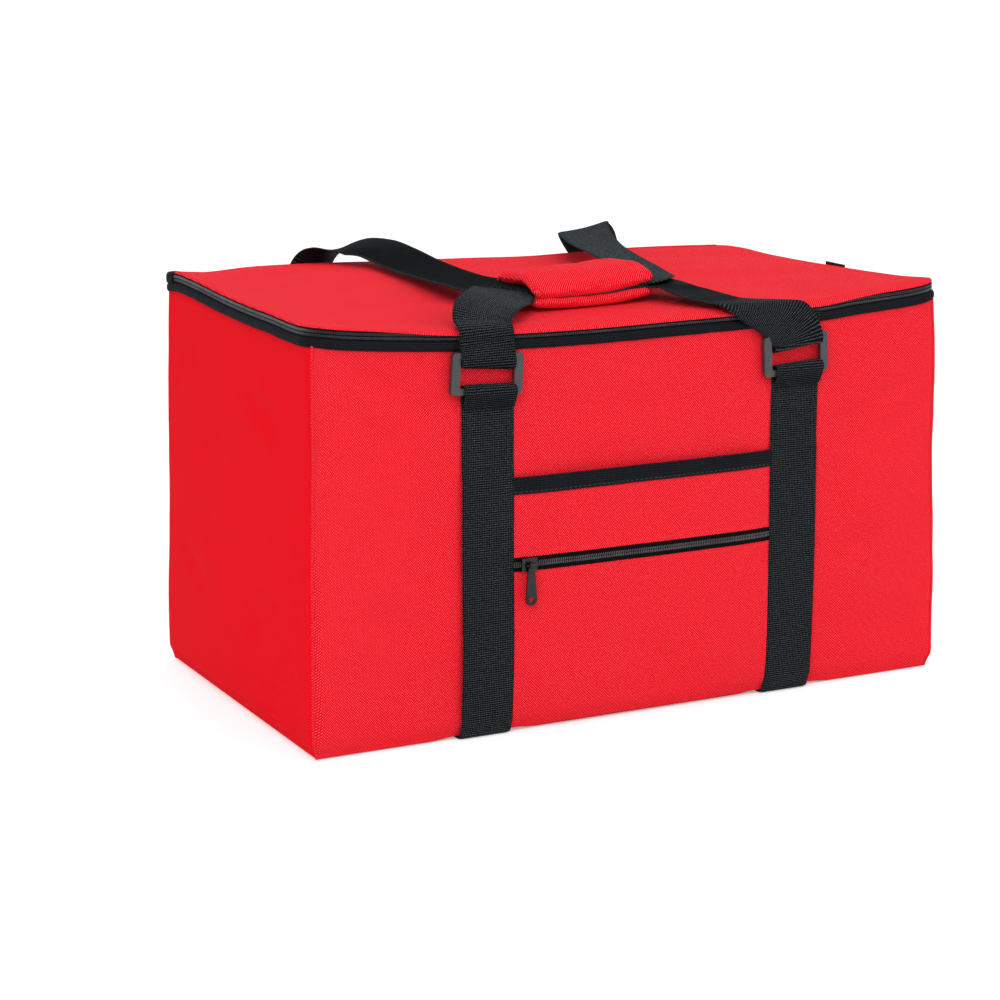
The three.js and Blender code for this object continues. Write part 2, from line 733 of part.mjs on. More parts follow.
// A handle's upper piece: in from the left fold, through the grip, and out to the right fold.
function makeUpperWeb(group, name, ySign, gripZ, leftShares, rightShares, rightX) {
  const foldY = ySign * (rimWebY - foldClearance);
  const foldZ = foldHeight(ySign);
  const leftWidth = new THREE.Vector3(ySign, 0, 0);
  const rightWidth = new THREE.Vector3(-ySign, 0, 0);
  const gripWidths = gripRunShares.map(() => new THREE.Vector3(0, 1, 0));
  const leadY = foldY - ySign * foldLead;
  const webY = gripCentreY + webSetBack;
  const left = routeStations(leftShares);
  const right = routeStations(rightShares);
  const gripEnds = gripRunShares.map((share) => {
    return new THREE.Vector3(gripCentreX + (share * gripLength) / 2, webY, gripZ);
  });
  const centres = [
    new THREE.Vector3(-strapX, foldY, foldZ),
    new THREE.Vector3(-strapX, leadY, foldZ + leadRise),
    ...left.centres,
    ...gripEnds,
    ...right.centres,
    new THREE.Vector3(rightX, leadY, foldZ + leadRise),
    new THREE.Vector3(rightX, foldY, foldZ),
  ];
  const leftWidths = [leftWidth, leftWidth, ...left.widths];
  const rightWidths = [...right.widths, rightWidth, rightWidth];
  const widths = [...leftWidths, ...gripWidths, ...rightWidths];
  addPiece(group, name, webAlong(centres, widths), blackWeb);
}

const gripRunShares = [-1.16, -1, -0.4, 0.4, 1, 1.16];
const frontLeftShares = [
  [-0.98, -0.8, 0.12, -1, 0.1, 0],
  [-0.9, -0.6, 0.3, -0.8, 0.6, 0],
];
const frontRightShares = [
  [0.54, -0.56, 0.3, 0.6, 0.9, 0],
  [0.84, -0.76, 0.18, 0.97, 0.35, 0],
];
const backLeftShares = [
  [-1, 0.8, 0.4, 1, 0, 0],
  [-0.98, 0.5, 0.74, 1, 0.05, -0.18],
  [-0.94, 0.15, 0.62, 0.9, 0.3, -0.3],
  [-0.86, -0.18, 0.56, 0.6, 0.75, 0.1],
];
const backRightShares = [
  [0.52, -0.32, 0.5, -0.4, 0.9, 0.1],
  [0.7, 0.05, 0.52, -0.8, 0.5, 0.2],
  [0.82, 0.4, 0.66, -0.95, 0.3, 0.2],
  [0.94, 0.76, 0.72, -1, 0.1, 0.15],
];

function makeHandles() {
  makeLegs(frontHandleGroup, "front", -1);
  makeLegs(backHandleGroup, "back", 1);
  const frontRightX = strapX - rightHandleLean;
  const frontShares = [frontLeftShares, frontRightShares];
  const backShares = [backLeftShares, backRightShares];
  makeUpperWeb(frontHandleGroup, "front_handle_web", -1, frontWebZ, ...frontShares, frontRightX);
  makeUpperWeb(backHandleGroup, "back_handle_web", 1, backWebZ, ...backShares, strapX);
}

// One padded leaf of the grip, thinner round its edges.
function gripLeaf(bottom, thickness, crownUp) {
  const edgeShares = [-1, -0.86, -0.5, 0, 0.5, 0.86, 1];
  const xLines = edgeShares.map((share) => (share * gripLength) / 2);
  const yLines = edgeShares.map((share) => (share * gripDepth) / 2);
  const crowned = (x, y) => {
    const xFall = (Math.abs(x) / (gripLength / 2)) ** gripEndPower;
    const yFall = (Math.abs(y) / (gripDepth / 2)) ** gripSidePower;
    return thickness * (1 - gripEdgeShare * Math.max(xFall, yFall));
  };
  const place = (x, y, z) => new THREE.Vector3(gripCentreX + x, gripCentreY + y, z);
  const top = (x, y) => place(x, y, crownUp ? bottom + crowned(x, y) : bottom + thickness);
  const low = (x, y) => place(x, y, crownUp ? bottom : bottom + thickness - crowned(x, y));
  return gridSlab(xLines, yLines, top, low);
}

function makeGrip() {
  const lower = gripLeaf(gripBottom, gripLowerThickness, false);
  addPiece(frontHandleGroup, "grip_lower_leaf", lower, redCloth);
  const upper = gripLeaf(gripUpperBottom, gripUpperThickness, true);
  addPiece(frontHandleGroup, "grip_upper_leaf", upper, redCloth);
  const x0 = gripCentreX - gripLength / 2 + gripStripInset;
  const x1 = gripCentreX + gripLength / 2 - gripStripInset;
  const y0 = gripCentreY - gripDepth / 2;
  const y1 = y0 + gripStripWidth;
  const stripPitch = (gripUpperBottom - gripInside - seamGap) / 2;
  const strip = (bottom) => boxBetween(x0, x1, y0, y1, bottom, bottom + stripPitch - seamGap);
  addPiece(frontHandleGroup, "grip_hook_strip", strip(gripInside + seamGap), blackHook);
  addPiece(frontHandleGroup, "grip_loop_strip", strip(gripInside + seamGap + stripPitch), blackHook);
  const spineY = gripCentreY + gripDepth / 2 + seamGap;
  const spineBottom = gripInside - gripLowerThickness * (1 - gripEdgeShare);
  const spineTop = gripUpperBottom + gripUpperThickness * (1 - gripEdgeShare);
  const spine = boxBetween(x0, x1, spineY, spineY + clothThickness, spineBottom, spineTop);
  addPiece(frontHandleGroup, "grip_spine", spine, redCloth);
}

// Pocket

const pocketHalf = strapX - strapWidth / 2 - seamGap;
const pocketLayerIn = halfDepth + pocketGap;
const pocketLayerOut = pocketLayerIn + pocketLiningThickness;
const pocketPanelIn = pocketLayerOut + seamGap;

function makePocket() {
  const half = pocketHalf;
  const layerIn = pocketLayerIn;
  const layerOut = pocketLayerOut;
  const wallY = halfDepth + seamGap;
  const tray = boxBetween(-half, half, -layerOut, -wallY, boardBottom, pocketTop - pocketBindingHeight);
  const side = half - clothThickness;
  const floor = boardBottom + clothThickness;
  const space = boxBetween(-side, side, -layerIn, -wallY + seamGap, floor, pocketTop);
  addPiece(bag, "pocket_lining", cut(tray, space), redCloth);
  const panelIn = pocketPanelIn;
  const panelOut = panelIn + clothThickness;
  const zipReach = pocketTapeHeight + 2 * seamGap;
  const lowTop = pocketZipZ - zipReach;
  const highBottom = pocketZipZ + zipReach;
  const highTop = pocketTop - pocketBindingHeight - seamGap;
  const lowPanel = boxBetween(-half, half, -panelOut, -panelIn, boardBottom, lowTop);
  addPiece(bag, "pocket_lower_panel", lowPanel, redCloth);
  const highPanel = boxBetween(-half, half, -panelOut, -panelIn, highBottom, highTop);
  addPiece(bag, "pocket_upper_panel", highPanel, redCloth);
  const bindingBack = -layerIn;
  const bindingFront = bindingBack - pocketBindingThickness;
  const bindingLow = highTop + 2 * seamGap;
  const binding = boxBetween(-half, half, bindingFront, bindingBack, bindingLow, pocketTop);
  addPiece(bag, "pocket_binding", binding, blackWeb);
}

// Half of the pocket's zip: a flat tape with the coil standing along its inner edge.
function makePocketZip() {
  const half = pocketHalf;
  const panelIn = pocketPanelIn;
  const tapeFace = panelIn + pocketTapeThickness;
  for (const [name, sign] of [["upper", 1], ["lower", -1]]) {
    const nearZ = pocketZipZ + sign * (seamGap / 2);
    const coilZ = nearZ + sign * pocketCoilHeight;
    const farZ = nearZ + sign * pocketTapeHeight;
    const tape = boxBetween(-half, half, -tapeFace, -panelIn, Math.min(nearZ, farZ), Math.max(nearZ, farZ));
    const coilFace = tapeFace + pocketCoilRise;
    const coilLow = Math.min(nearZ, coilZ);
    const coilHigh = Math.max(nearZ, coilZ);
    const coil = boxBetween(-half, half, -coilFace, -panelIn, coilLow, coilHigh);
    addPiece(bag, `pocket_zip_${name}`, join(tape, coil), blackZip);
  }
}

// A slider facing +Z that runs along X over a chain of the given height and width, with its bridge.
function sliderBody(chainHeight, chainWidth) {
  const slotHalf = chainWidth / 2 + sliderClearance;
  const halfHeight = Math.max(sliderHeight / 2, slotHalf + sliderWall);
  const slotTop = chainHeight + sliderClearance;
  const top = slotTop + sliderPlate;
  const halfLength = sliderLength / 2;
  const body = boxBetween(-halfLength, halfLength, -halfHeight, halfHeight, sliderClearance, top);
  const slot = boxBetween(-sliderLength, sliderLength, -slotHalf, slotHalf, -slotTop, slotTop);
  const barTop = top + bridgeRise;
  const barHalf = bridgeBar / 2;
  const spanHalf = bridgeSpan / 2;
  const bar = boxBetween(-spanHalf, spanHalf, -barHalf, barHalf, barTop - bridgeBar, barTop);
  const postEnd = spanHalf - bridgeBar;
  const posts = [-1, 1].map((side) => {
    const ends = [side * postEnd, side * spanHalf].sort((a, b) => a - b);
    return boxBetween(ends[0], ends[1], -barHalf, barHalf, top - bridgeBar / 2, barTop);
  });
  const slider = join(cut(body, slot), bar, ...posts);
  return { slider, barZ: barTop - barHalf };
}

// A pull hanging along -Y from its eye, which is centred on the origin and turns about X.
function pullPlate() {
  const shape = new THREE.Shape();
  const neck = pullNeck / 2;
  const wide = pullWidth / 2;
  const roundY = wide - pullLength;
  shape.moveTo(-neck, 0);
  shape.lineTo(-wide, roundY);
  shape.absarc(0, roundY, wide, Math.PI, 2 * Math.PI);
  shape.lineTo(neck, 0);
  const hole = new THREE.Path();
  hole.absarc(0, roundY, pullHole / 2, 0, 2 * Math.PI, true);
  shape.holes.push(hole);
  const options = { depth: pullThickness, bevelEnabled: false, curveSegments: eyeSides };
  const plate = new THREE.ExtrudeGeometry(shape, options);
  plate.translate(0, 0, -pullThickness / 2);
  const holeRadius = bridgeBar * Math.SQRT1_2 + sliderClearance;
  const eyeRadius = holeRadius + eyeWall;
  const eye = new THREE.CylinderGeometry(eyeRadius, eyeRadius, eyeLength, 2 * eyeSides);
  const eyeHole = new THREE.CylinderGeometry(holeRadius, holeRadius, pullLength, 2 * eyeSides);
  eye.rotateZ(Math.PI / 2);
  eyeHole.rotateZ(Math.PI / 2);
  return cut(join(plate, eye), eyeHole);
}

// Places a slider and its pull: the chain's face point, the way out of the bag and the way along the zip.
function placeSlider(name, point, outward, along, chainHeight, chainWidth) {
  const up = new THREE.Vector3().crossVectors(outward, along);
  const matrix = new THREE.Matrix4().makeBasis(along, up, outward).setPosition(point);
  const { slider, barZ } = sliderBody(chainHeight, chainWidth);
  slider.applyMatrix4(matrix);
  addPiece(bag, `${name}_slider`, slider, blackMetal);
  const pull = pullPlate();
  pull.translate(0, 0, barZ);
  pull.applyMatrix4(matrix);
  addPiece(bag, `${name}_pull`, pull, blackMetal);
}

function makeSliders() {
  const pocketFace = pocketPanelIn + pocketTapeThickness;
  const pocketPoint = new THREE.Vector3(pocketSliderInset - pocketHalf, -pocketFace, pocketZipZ);
  const front = new THREE.Vector3(0, -1, 0);
  const alongX = new THREE.Vector3(1, 0, 0);
  const pocketChain = 2 * pocketCoilHeight + seamGap;
  placeSlider("pocket_zip", pocketPoint, front, alongX, pocketCoilRise, pocketChain);
  const right = new THREE.Vector3(1, 0, 0);
  const alongY = new THREE.Vector3(0, 1, 0);
  const chainMiddle = lidTop(halfWidth, 0) + (lidCoilTop + bodyCoilBottom) / 2;
  const chainWidth = lidCoilTop - bodyCoilBottom;
  for (const [name, sign] of [["front", -1], ["rear", 1]]) {
    const y = (sign * zipSliderSpacing) / 2;
    const point = new THREE.Vector3(halfWidth + bindingProud - sliderClearance, y, chainMiddle);
    placeSlider(`lid_zip_${name}`, point, right, alongY, 0, 0);
  }
}

makeClothWalls();
makeCornerWelts();
makeFoam();
makeLiner();
makeRim();
makeHinge();
makeLid();
makeStraps();
makeLoops();
makeHandles();
makeGrip();
makePocket();
makePocketZip();
makeSliders();

export default bag;
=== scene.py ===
import json
import math

import bmesh
import bpy
import numpy as np
from mathutils import Matrix, Vector, noise

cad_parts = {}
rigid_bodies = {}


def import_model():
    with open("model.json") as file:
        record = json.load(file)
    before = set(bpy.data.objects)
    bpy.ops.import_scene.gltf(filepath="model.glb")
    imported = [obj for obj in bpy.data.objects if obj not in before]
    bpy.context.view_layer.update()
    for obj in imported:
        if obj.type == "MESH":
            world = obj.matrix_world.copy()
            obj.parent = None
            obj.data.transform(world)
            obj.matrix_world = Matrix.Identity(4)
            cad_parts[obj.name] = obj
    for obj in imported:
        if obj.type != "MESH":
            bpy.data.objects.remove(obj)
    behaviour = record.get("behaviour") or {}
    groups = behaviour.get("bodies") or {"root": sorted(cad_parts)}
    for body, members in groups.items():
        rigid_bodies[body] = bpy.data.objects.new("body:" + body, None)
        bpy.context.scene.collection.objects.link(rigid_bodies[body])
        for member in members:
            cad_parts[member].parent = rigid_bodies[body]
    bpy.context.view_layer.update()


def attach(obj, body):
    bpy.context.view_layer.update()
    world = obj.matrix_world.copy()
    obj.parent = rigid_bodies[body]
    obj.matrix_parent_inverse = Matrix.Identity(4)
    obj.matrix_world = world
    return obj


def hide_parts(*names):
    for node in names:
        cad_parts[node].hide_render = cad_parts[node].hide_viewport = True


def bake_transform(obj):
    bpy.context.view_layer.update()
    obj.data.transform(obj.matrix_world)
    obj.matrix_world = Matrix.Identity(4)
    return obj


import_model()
mm = 0.001
scene = bpy.context.scene
scene.view_settings.view_transform = "Standard"

# Insulated lunch bag. X runs along the long side, the front with the pocket faces -Y, the floor is z = 0.


def linked(name, data):
    piece = bpy.data.objects.new(name, data)
    scene.collection.objects.link(piece)
    return piece


# Camera, at the photograph's place

cameraShape = {
    "azimuth": -26.83,
    "elevation": 12.83,
    "distance": 1.7892,
    "aimHeight": 0.14605,
    "aimRight": -0.03322,
    "aimUp": -0.02975,
    "lens": 94.65,
    "sensor": 36,
}


def makeCamera(shape):
    a, e = math.radians(shape["azimuth"]), math.radians(shape["elevation"])
    back = Vector((math.sin(a) * math.cos(e), -math.cos(a) * math.cos(e), math.sin(e)))
    right = Vector((math.cos(a), math.sin(a), 0))
    up = back.cross(right)
    place = Vector((0, 0, shape["aimHeight"])) + right * shape["aimRight"] + up * shape["aimUp"]
    place += back * shape["distance"]
    data = bpy.data.cameras.new("camera")
    data.lens, data.sensor_width = shape["lens"], shape["sensor"]
    scene.camera = linked("camera", data)
    scene.camera.matrix_world = Matrix.Translation(place) @ Matrix((right, up, back)).transposed().to_4x4()


makeCamera(cameraShape)


# Node and material helpers

# A node's output that can stand in a sum
class Value:
    def __init__(self, tree, socket):
        self.tree, self.socket = tree, socket

    def to(self, operation, *others):
        return Value(self.tree, put(self.tree, "ShaderNodeMath", [self, *others], operation=operation).outputs[0])

    def __add__(self, other):
        return self.to("ADD", other)

    def __sub__(self, other):
        return self.to("SUBTRACT", other)

    def __mul__(self, other):
        return self.to("MULTIPLY", other)

    def __truediv__(self, other):
        return self.to("DIVIDE", other)


def fill(tree, node, inputs):
    for key, value in inputs.items() if isinstance(inputs, dict) else enumerate(inputs):
        value = value.socket if isinstance(value, Value) else value
        if isinstance(value, bpy.types.NodeSocket):
            tree.links.new(value, node.inputs[key])
        else:
            node.inputs[key].default_value = value


def put(tree, kind, inputs=(), **settings):
    node = tree.nodes.new(kind)
    for key, value in settings.items():
        setattr(node, key, value)
    fill(tree, node, inputs)
    return node


# An input is given by its starting number, or by its type where it has none
def newGroup(name, kind, inputs, outputs, form="Float"):
    tree = bpy.data.node_groups.new(name, kind)
    for label, value in inputs.items():
        plain = "Int" if isinstance(value, int) else "Float"
        socket = tree.interface.new_socket(
            label, in_out="INPUT", socket_type="NodeSocket" + (value if isinstance(value, str) else plain))
        if not isinstance(value, str):
            socket.default_value = value
    for label in outputs:
        tree.interface.new_socket(label, in_out="OUTPUT", socket_type="NodeSocket" + form)
    given, out = tree.nodes.new("NodeGroupInput"), tree.nodes.new("NodeGroupOutput")
    return tree, {label: Value(tree, given.outputs[label]) for label in inputs}, out


def cloudy(tree, place, scale, detail=2):
    node = put(tree, "ShaderNodeTexNoise", {"Vector": place, "Scale": scale, "Detail": detail})
    return Value(tree, node.outputs["Fac"])


def xyOf(tree, place):
    parts = put(tree, "ShaderNodeSeparateXYZ", [place]).outputs
    return Value(tree, parts[0]), Value(tree, parts[1])


def srgb(red, green, blue):
    linear = [c / 255 / 12.92 if c <= 10 else ((c / 255 + 0.055) / 1.055) ** 2.4 for c in (red, green, blue)]
    return (*linear, 1)


# Diagonal twill: the ridges run up to the right, broken into short floats
def makeTwill():
    tree, given, out = newGroup("twillWeave", "ShaderNodeTree",
                                {"Place": "Vector", "Pitch": 0.00158, "Lean": 0.9, "Waver": 0.9}, ("Shade", "Height"))
    x, y = xyOf(tree, given["Place"])
    turns = (x - y * given["Lean"]) / given["Pitch"] * math.tau
    ridge = (turns + cloudy(tree, given["Place"], 55, 3) * given["Waver"]).to("SINE") * 0.5 + 0.5
    cross = (x * given["Lean"] + y) / given["Pitch"] * (math.tau * 0.8)
    height = ridge * ((cross + turns).to("SINE") * 0.18 + 0.82)
    fuzz = (cloudy(tree, given["Place"], 1400) - 0.5) * 0.5
    fill(tree, out, {"Shade": fuzz + height, "Height": height})
    return tree


# Ribbed narrow weave for webbing, binding and tape: ribs across, yarns along
def makeRibWeave():
    tree, given, out = newGroup("ribWeave", "ShaderNodeTree",
                                {"Place": "Vector", "RibPitch": 0.0021, "YarnPitch": 0.0011}, ("Shade", "Height"))
    x, y = xyOf(tree, given["Place"])
    along = x / given["RibPitch"] * math.tau + cloudy(tree, given["Place"], 420) * 3.2
    rib = along.to("SINE") * 0.5 + 0.5
    yarn = (y / given["YarnPitch"] * math.tau).to("SINE") * 0.5 + 0.5
    height = yarn * 0.35 + rib * 0.65
    fuzz = (cloudy(tree, given["Place"], 1100) - 0.5) * 0.6
    fill(tree, out, {"Shade": fuzz + height, "Height": height})
    return tree


# Slow changes of tone over a whole piece, and fine grain
def makeCloud():
    tree, given, out = newGroup("slowTone", "ShaderNodeTree",
                                {"Place": "Vector", "Size": 0.08, "GrainSize": 0.0015}, ("Tone", "Grain"))
    for label, size, detail in (("Tone", "Size", 3), ("Grain", "GrainSize", 2)):
        scale = put(tree, "ShaderNodeMath", [1.0, given[size]], operation="DIVIDE").outputs[0]
        fill(tree, out, {label: cloudy(tree, given["Place"], scale, detail)})
    return tree


twillWeave, ribWeave, slowTone = makeTwill(), makeRibWeave(), makeCloud()


def startMaterial(name):
    material = bpy.data.materials.new(name)
    material.use_nodes = True
    tree = material.node_tree
    return material, tree, tree.nodes["Principled BSDF"]


def finishShader(tree, shader, colour, roughness, height, strength, distance, fixed):
    bump = put(tree, "ShaderNodeBump", {"Strength": strength, "Distance": distance, "Height": height})
    fill(tree, shader, {"Base Color": colour, "Roughness": roughness, "Normal": bump.outputs["Normal"], **fixed})


def blendColour(tree, share, first, second):
    return put(tree, "ShaderNodeMix", {0: share, 6: first, 7: second}, data_type="RGBA").outputs[2]


def ranged(tree, value, low, high):
    return put(tree, "ShaderNodeMapRange", {"Value": value, "To Min": low, "To Max": high}).outputs[0]


def toneOf(tree, **sizes):
    where = put(tree, "ShaderNodeTexCoord").outputs["Object"]
    return where, put(tree, "ShaderNodeGroup", {"Place": where, **sizes}, node_tree=slowTone).outputs


# power sharpens the painted highlights on the threads' tops, and cloud and uneven are the size and share of the slow
# changes of tone
canvasLook = {"power": 5.2, "cloud": 0.09, "uneven": 0.3, "rough": (0.9, 0.72), "bump": 0.9, "bumpDepth": 0.4 * mm}
webbingLook = {"power": 5.0, "cloud": 0.03, "uneven": 0.35, "rough": (0.62, 0.85), "bumpDepth": 0.3 * mm}


def makeCloth(name, weave, colours, look, bump, pitches):
    material, tree, shader = startMaterial(name)
    place = put(tree, "ShaderNodeUVMap", uv_map="cloth").outputs[0]
    woven = put(tree, "ShaderNodeGroup", {"Place": place, **pitches}, node_tree=weave).outputs
    cloud = toneOf(tree, Size=look["cloud"])[1]
    dark, light, deep = (srgb(*colour) for colour in colours)
    shade = Value(tree, woven["Shade"]).to("MAXIMUM", 0.0).to("POWER", look["power"])
    # where Shade is high, on the tops of the threads and ribs, the light colour goes on as a painted highlight
    threads = blendColour(tree, shade, dark, light)
    colour = blendColour(tree, ranged(tree, cloud["Tone"], 0.0, look["uneven"]), threads, deep)
    roughness = ranged(tree, woven["Shade"] if weave == twillWeave else cloud["Grain"], *look["rough"])
    finishShader(tree, shader, colour, roughness, woven["Height"], bump, look["bumpDepth"],
                 {"Specular IOR Level": 0.05})
    return material


def makeCanvas(name, *colours):
    return makeCloth(name, twillWeave, colours, canvasLook, canvasLook["bump"], {})


def makeWebbing(name, dark, light, ribPitch, yarnPitch, bump):
    return makeCloth(name, ribWeave, (dark, light, dark), webbingLook, bump,
                     {"RibPitch": ribPitch * mm, "YarnPitch": yarnPitch * mm})


def makePlastic(name, dark, light, rough, grainSize=1.2, bump=0.12, metallic=0.0):
    material, tree, shader = startMaterial(name)
    cloud = toneOf(tree, Size=0.012, GrainSize=grainSize * mm)[1]
    finishShader(tree, shader, blendColour(tree, cloud["Tone"], srgb(*dark), srgb(*light)),
                 ranged(tree, cloud["Grain"], rough * 0.75, rough * 1.25), cloud["Grain"], bump, 0.2 * mm,
                 {"Metallic": metallic})
    return material


def makeLiner(name):
    material, tree, shader = startMaterial(name)
    where, cloud = toneOf(tree, Size=0.03, GrainSize=0.004)
    crinkle = put(tree, "ShaderNodeTexVoronoi", {"Vector": where, "Scale": 70}, feature="DISTANCE_TO_EDGE")
    fold = Value(tree, ranged(tree, crinkle.outputs["Distance"], 0.0, 1.0))
    finishShader(tree, shader, blendColour(tree, cloud["Tone"], srgb(188, 191, 196), srgb(222, 224, 228)),
                 ranged(tree, cloud["Tone"], 0.28, 0.46), fold * 0.7 + Value(tree, cloud["Grain"]) * 0.5, 0.5,
                 1.2 * mm, {"Metallic": 0.75})
    return material


# The pale pink tops of canvasRed's threads are painted highlights; the copy for the left and right walls has fainter
# painted highlights, as those walls catch less light
canvasRed = makeCanvas("canvasRed", (228, 0, 7), (255, 132, 158), (251, 6, 30))
canvasRedSideWeakHighlights = makeCanvas("canvasRedSideWeakHighlights", (238, 0, 9), (255, 48, 84), (246, 4, 24))
# The light ends of the webbing, binding and tape colours go only on the rib tops, as painted highlights
webbingBlack = makeWebbing("webbingBlack", (1, 2, 3), (92, 100, 105), 1.42, 1.2, 0.7)
bindingBlack = makeWebbing("bindingBlack", (12, 14, 17), (50, 54, 60), 0.9, 1.6, 0.4)
tapeBlack = makeWebbing("tapeBlack", (5, 6, 7), (26, 28, 31), 0.8, 0.8, 0.5)
threadBlack = makePlastic("threadBlack", (10, 12, 14), (36, 40, 44), 0.6, 0.4)
threadRed = makePlastic("threadRed", (198, 8, 24), (244, 36, 54), 0.6, 0.4)
teethBlack = makePlastic("teethBlack", (14, 15, 17), (96, 100, 105), 0.32, 0.8)
ringPlastic = makePlastic("ringPlastic", (36, 36, 38), (62, 62, 65), 0.34, 0.9)
sliderMetal = makePlastic("sliderMetal", (34, 34, 36), (66, 66, 69), 0.3, metallic=1.0)
foamGrey = makePlastic("foamGrey", (205, 205, 202), (232, 232, 228), 0.9, 0.9, 0.6)
boardGrey = makePlastic("boardGrey", (120, 118, 114), (150, 147, 142), 0.85, bump=0.4)
hookBlack = makePlastic("hookBlack", (14, 15, 16), (40, 42, 45), 0.8, 0.7, 0.9)
linerSilver = makeLiner("linerSilver")
print("materials made")


# Mesh helpers

# A smooth curve through a table of [place, value, ...], without overshoot past its ends
def runThrough(table, at):
    table = np.array(table, float)
    knots, values = table[:, 0], table[:, 1:]
    slopes = np.gradient(values, knots, axis=0)
    flat = np.asarray(at, float).ravel()
    i = np.clip(np.searchsorted(knots, flat) - 1, 0, len(knots) - 2)
    width = (knots[i + 1] - knots[i])[:, None]
    t = np.clip((flat - knots[i])[:, None] / width, 0, 1)
    rise = (2 * t**3 - 3 * t**2 + 1) * values[i] + (t**3 - 2 * t**2 + t) * width * slopes[i]
    rise += (3 * t**2 - 2 * t**3) * values[i + 1] + (t**3 - t**2) * width * slopes[i + 1]
    return rise.reshape(np.shape(at)) if values.shape[1] == 1 else rise


def softStep(low, high, x):
    t = np.clip((np.asarray(x, float) - low) / (high - low), 0, 1)
    return t * t * (3 - 2 * t)


def gridFaces(rows, cols, wrapCols=False, wrapRows=False):
    r, c = np.meshgrid(np.arange(rows - (not wrapRows)), np.arange(cols - (not wrapCols)), indexing="ij")
    r, c = r.ravel(), c.ravel()
    cornerRows = np.stack([r, r, r + 1, r + 1], 1)
    cornerCols = np.stack([c, c + 1, c + 1, c], 1)
    return (cornerRows % rows) * cols + cornerCols % cols, cornerRows, cornerCols


def buildPiece(name, vertices, faces, places, material, sharp=50, attributes=None):
    # all faces are quads; a closed shape that comes out inside out is turned round
    vertices = np.asarray(vertices, float).reshape(-1, 3)
    a, b, c, d = (vertices[faces[:, k]] for k in range(4))
    if np.einsum("ij,ij->", a, np.cross(b, c)) + np.einsum("ij,ij->", a, np.cross(c, d)) < 0:
        faces, places = faces[:, ::-1], places[:, ::-1]
    mesh = bpy.data.meshes.new(name)
    mesh.from_pydata(vertices.tolist(), [], faces.tolist())
    mesh.uv_layers.new(name="cloth").data.foreach_set("uv", places.reshape(-1).astype(np.float32))
    for label, values in (attributes or {}).items():
        carry(mesh, label, values)
    mesh.shade_smooth()
    mesh.set_sharp_from_angle(angle=math.radians(sharp))
    mesh.materials.append(material)
    return linked(name, mesh)


def carry(mesh, label, values):
    values = np.asarray(values, np.float32)
    kind, key = ("FLOAT", "value") if values.ndim == 1 else ("FLOAT_VECTOR", "vector")
    mesh.attributes.new(label, kind, "POINT").data.foreach_set(key, values.ravel())


# A closed thin shell between two grids of points; cloth places are in metres
def shellPiece(name, outer, inner, places, material, ringed=False, sharp=50):
    rows, cols = outer.shape[:2]
    faces, cornerRows, cornerCols = gridFaces(rows, cols, wrapCols=ringed)
    uv, count = places[cornerRows, cornerCols], rows * cols
    allFaces, allPlaces = [faces, faces[:, ::-1] + count], [uv, uv[:, ::-1]]
    line, column = np.arange(cols + ringed) % cols, np.arange(rows) * cols
    borders = [(line, places[0]), (((rows - 1) * cols + line)[::-1], places[-1][::-1])]
    if not ringed:
        borders += [(column[::-1], places[::-1, 0]), (column + cols - 1, places[:, -1])]
    for border, corner in borders:
        start, end = border[:-1], border[1:]
        allFaces.append(np.stack([end, start, start + count, end + count], 1))
        allPlaces.append(np.stack([corner[1:], corner[:-1], corner[:-1], corner[1:]], 1))
    return buildPiece(name, np.concatenate([outer.reshape(-1, 3), inner.reshape(-1, 3)]), np.concatenate(allFaces),
                      np.concatenate(allPlaces), material, sharp)


# A thin sheet of even thickness, laid inward from its outer points
def sheetPiece(name, points, places, thickness, material, inward, ringed=False, sharp=50):
    if ringed:
        alongCols = np.roll(points, -1, axis=1) - np.roll(points, 1, axis=1)
    else:
        alongCols = np.gradient(points, axis=1)
    normals = unit(np.cross(alongCols, np.gradient(points, axis=0)))
    if np.einsum("ijk,ijk->", normals, np.broadcast_to(inward, normals.shape)) > 0:
        normals = -normals
    return shellPiece(name, points, points - normals * thickness, places, material, ringed, sharp)


# A closed tube through rings of section points, with quad caps
def tubePiece(name, rings, along, material, looped=False, attributes=None):
    rows, cols = rings.shape[:2]
    faces, cornerRows, cornerCols = gridFaces(rows, cols, wrapCols=True, wrapRows=looped)
    around = np.linalg.norm(np.diff(np.concatenate([rings[0], rings[0][:1]]), axis=0), axis=1)
    around = np.concatenate([[0], np.cumsum(around)])
    if looped:
        along = np.append(along, along[-1] + along[1] - along[0])
    places = np.stack([along[cornerRows], around[cornerCols]], 2)
    for start, turn in () if looped else ((0, 1), ((rows - 1) * cols, -1)):
        i = np.arange(cols // 2 - 1)
        cap = np.stack([i, i + 1, cols - 2 - i, cols - 1 - i], 1)[:, ::-turn]
        faces = np.concatenate([faces, cap + start])
        where = np.stack([np.full(cap.shape, along[0 if turn == 1 else -1]), around[cap]], 2)
        places = np.concatenate([places, where])
    return buildPiece(name, rings, faces, places, material, attributes=attributes)


def resample(points, step):
    length = np.concatenate([[0], np.cumsum(np.linalg.norm(np.diff(points[:, :3], axis=0), axis=1))])
    at = np.linspace(0, length[-1], max(2, int(round(length[-1] / step)) + 1))
    return np.stack([np.interp(at, length, column) for column in points.T], 1), at


# A smooth run through stations; the extra columns, such as a width direction, go with the points
def alongStations(stations, step):
    table = np.array(stations, float)
    knots = np.concatenate([[0], np.cumsum(np.sqrt(np.linalg.norm(np.diff(table[:, :3], axis=0), axis=1)))])
    return resample(runThrough(np.column_stack([knots, table]), np.linspace(0, knots[-1], len(table) * 40)), step)


def unit(vectors):
    return vectors / np.maximum(np.linalg.norm(vectors, axis=-1, keepdims=True), 1e-12)


def flatOf(x, y):
    return np.stack([x, y, np.zeros(np.shape(x))], -1)


def adopt(piece, body, slot, *nodes):
    if body:
        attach(piece, body)
    if nodes:
        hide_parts(*nodes)


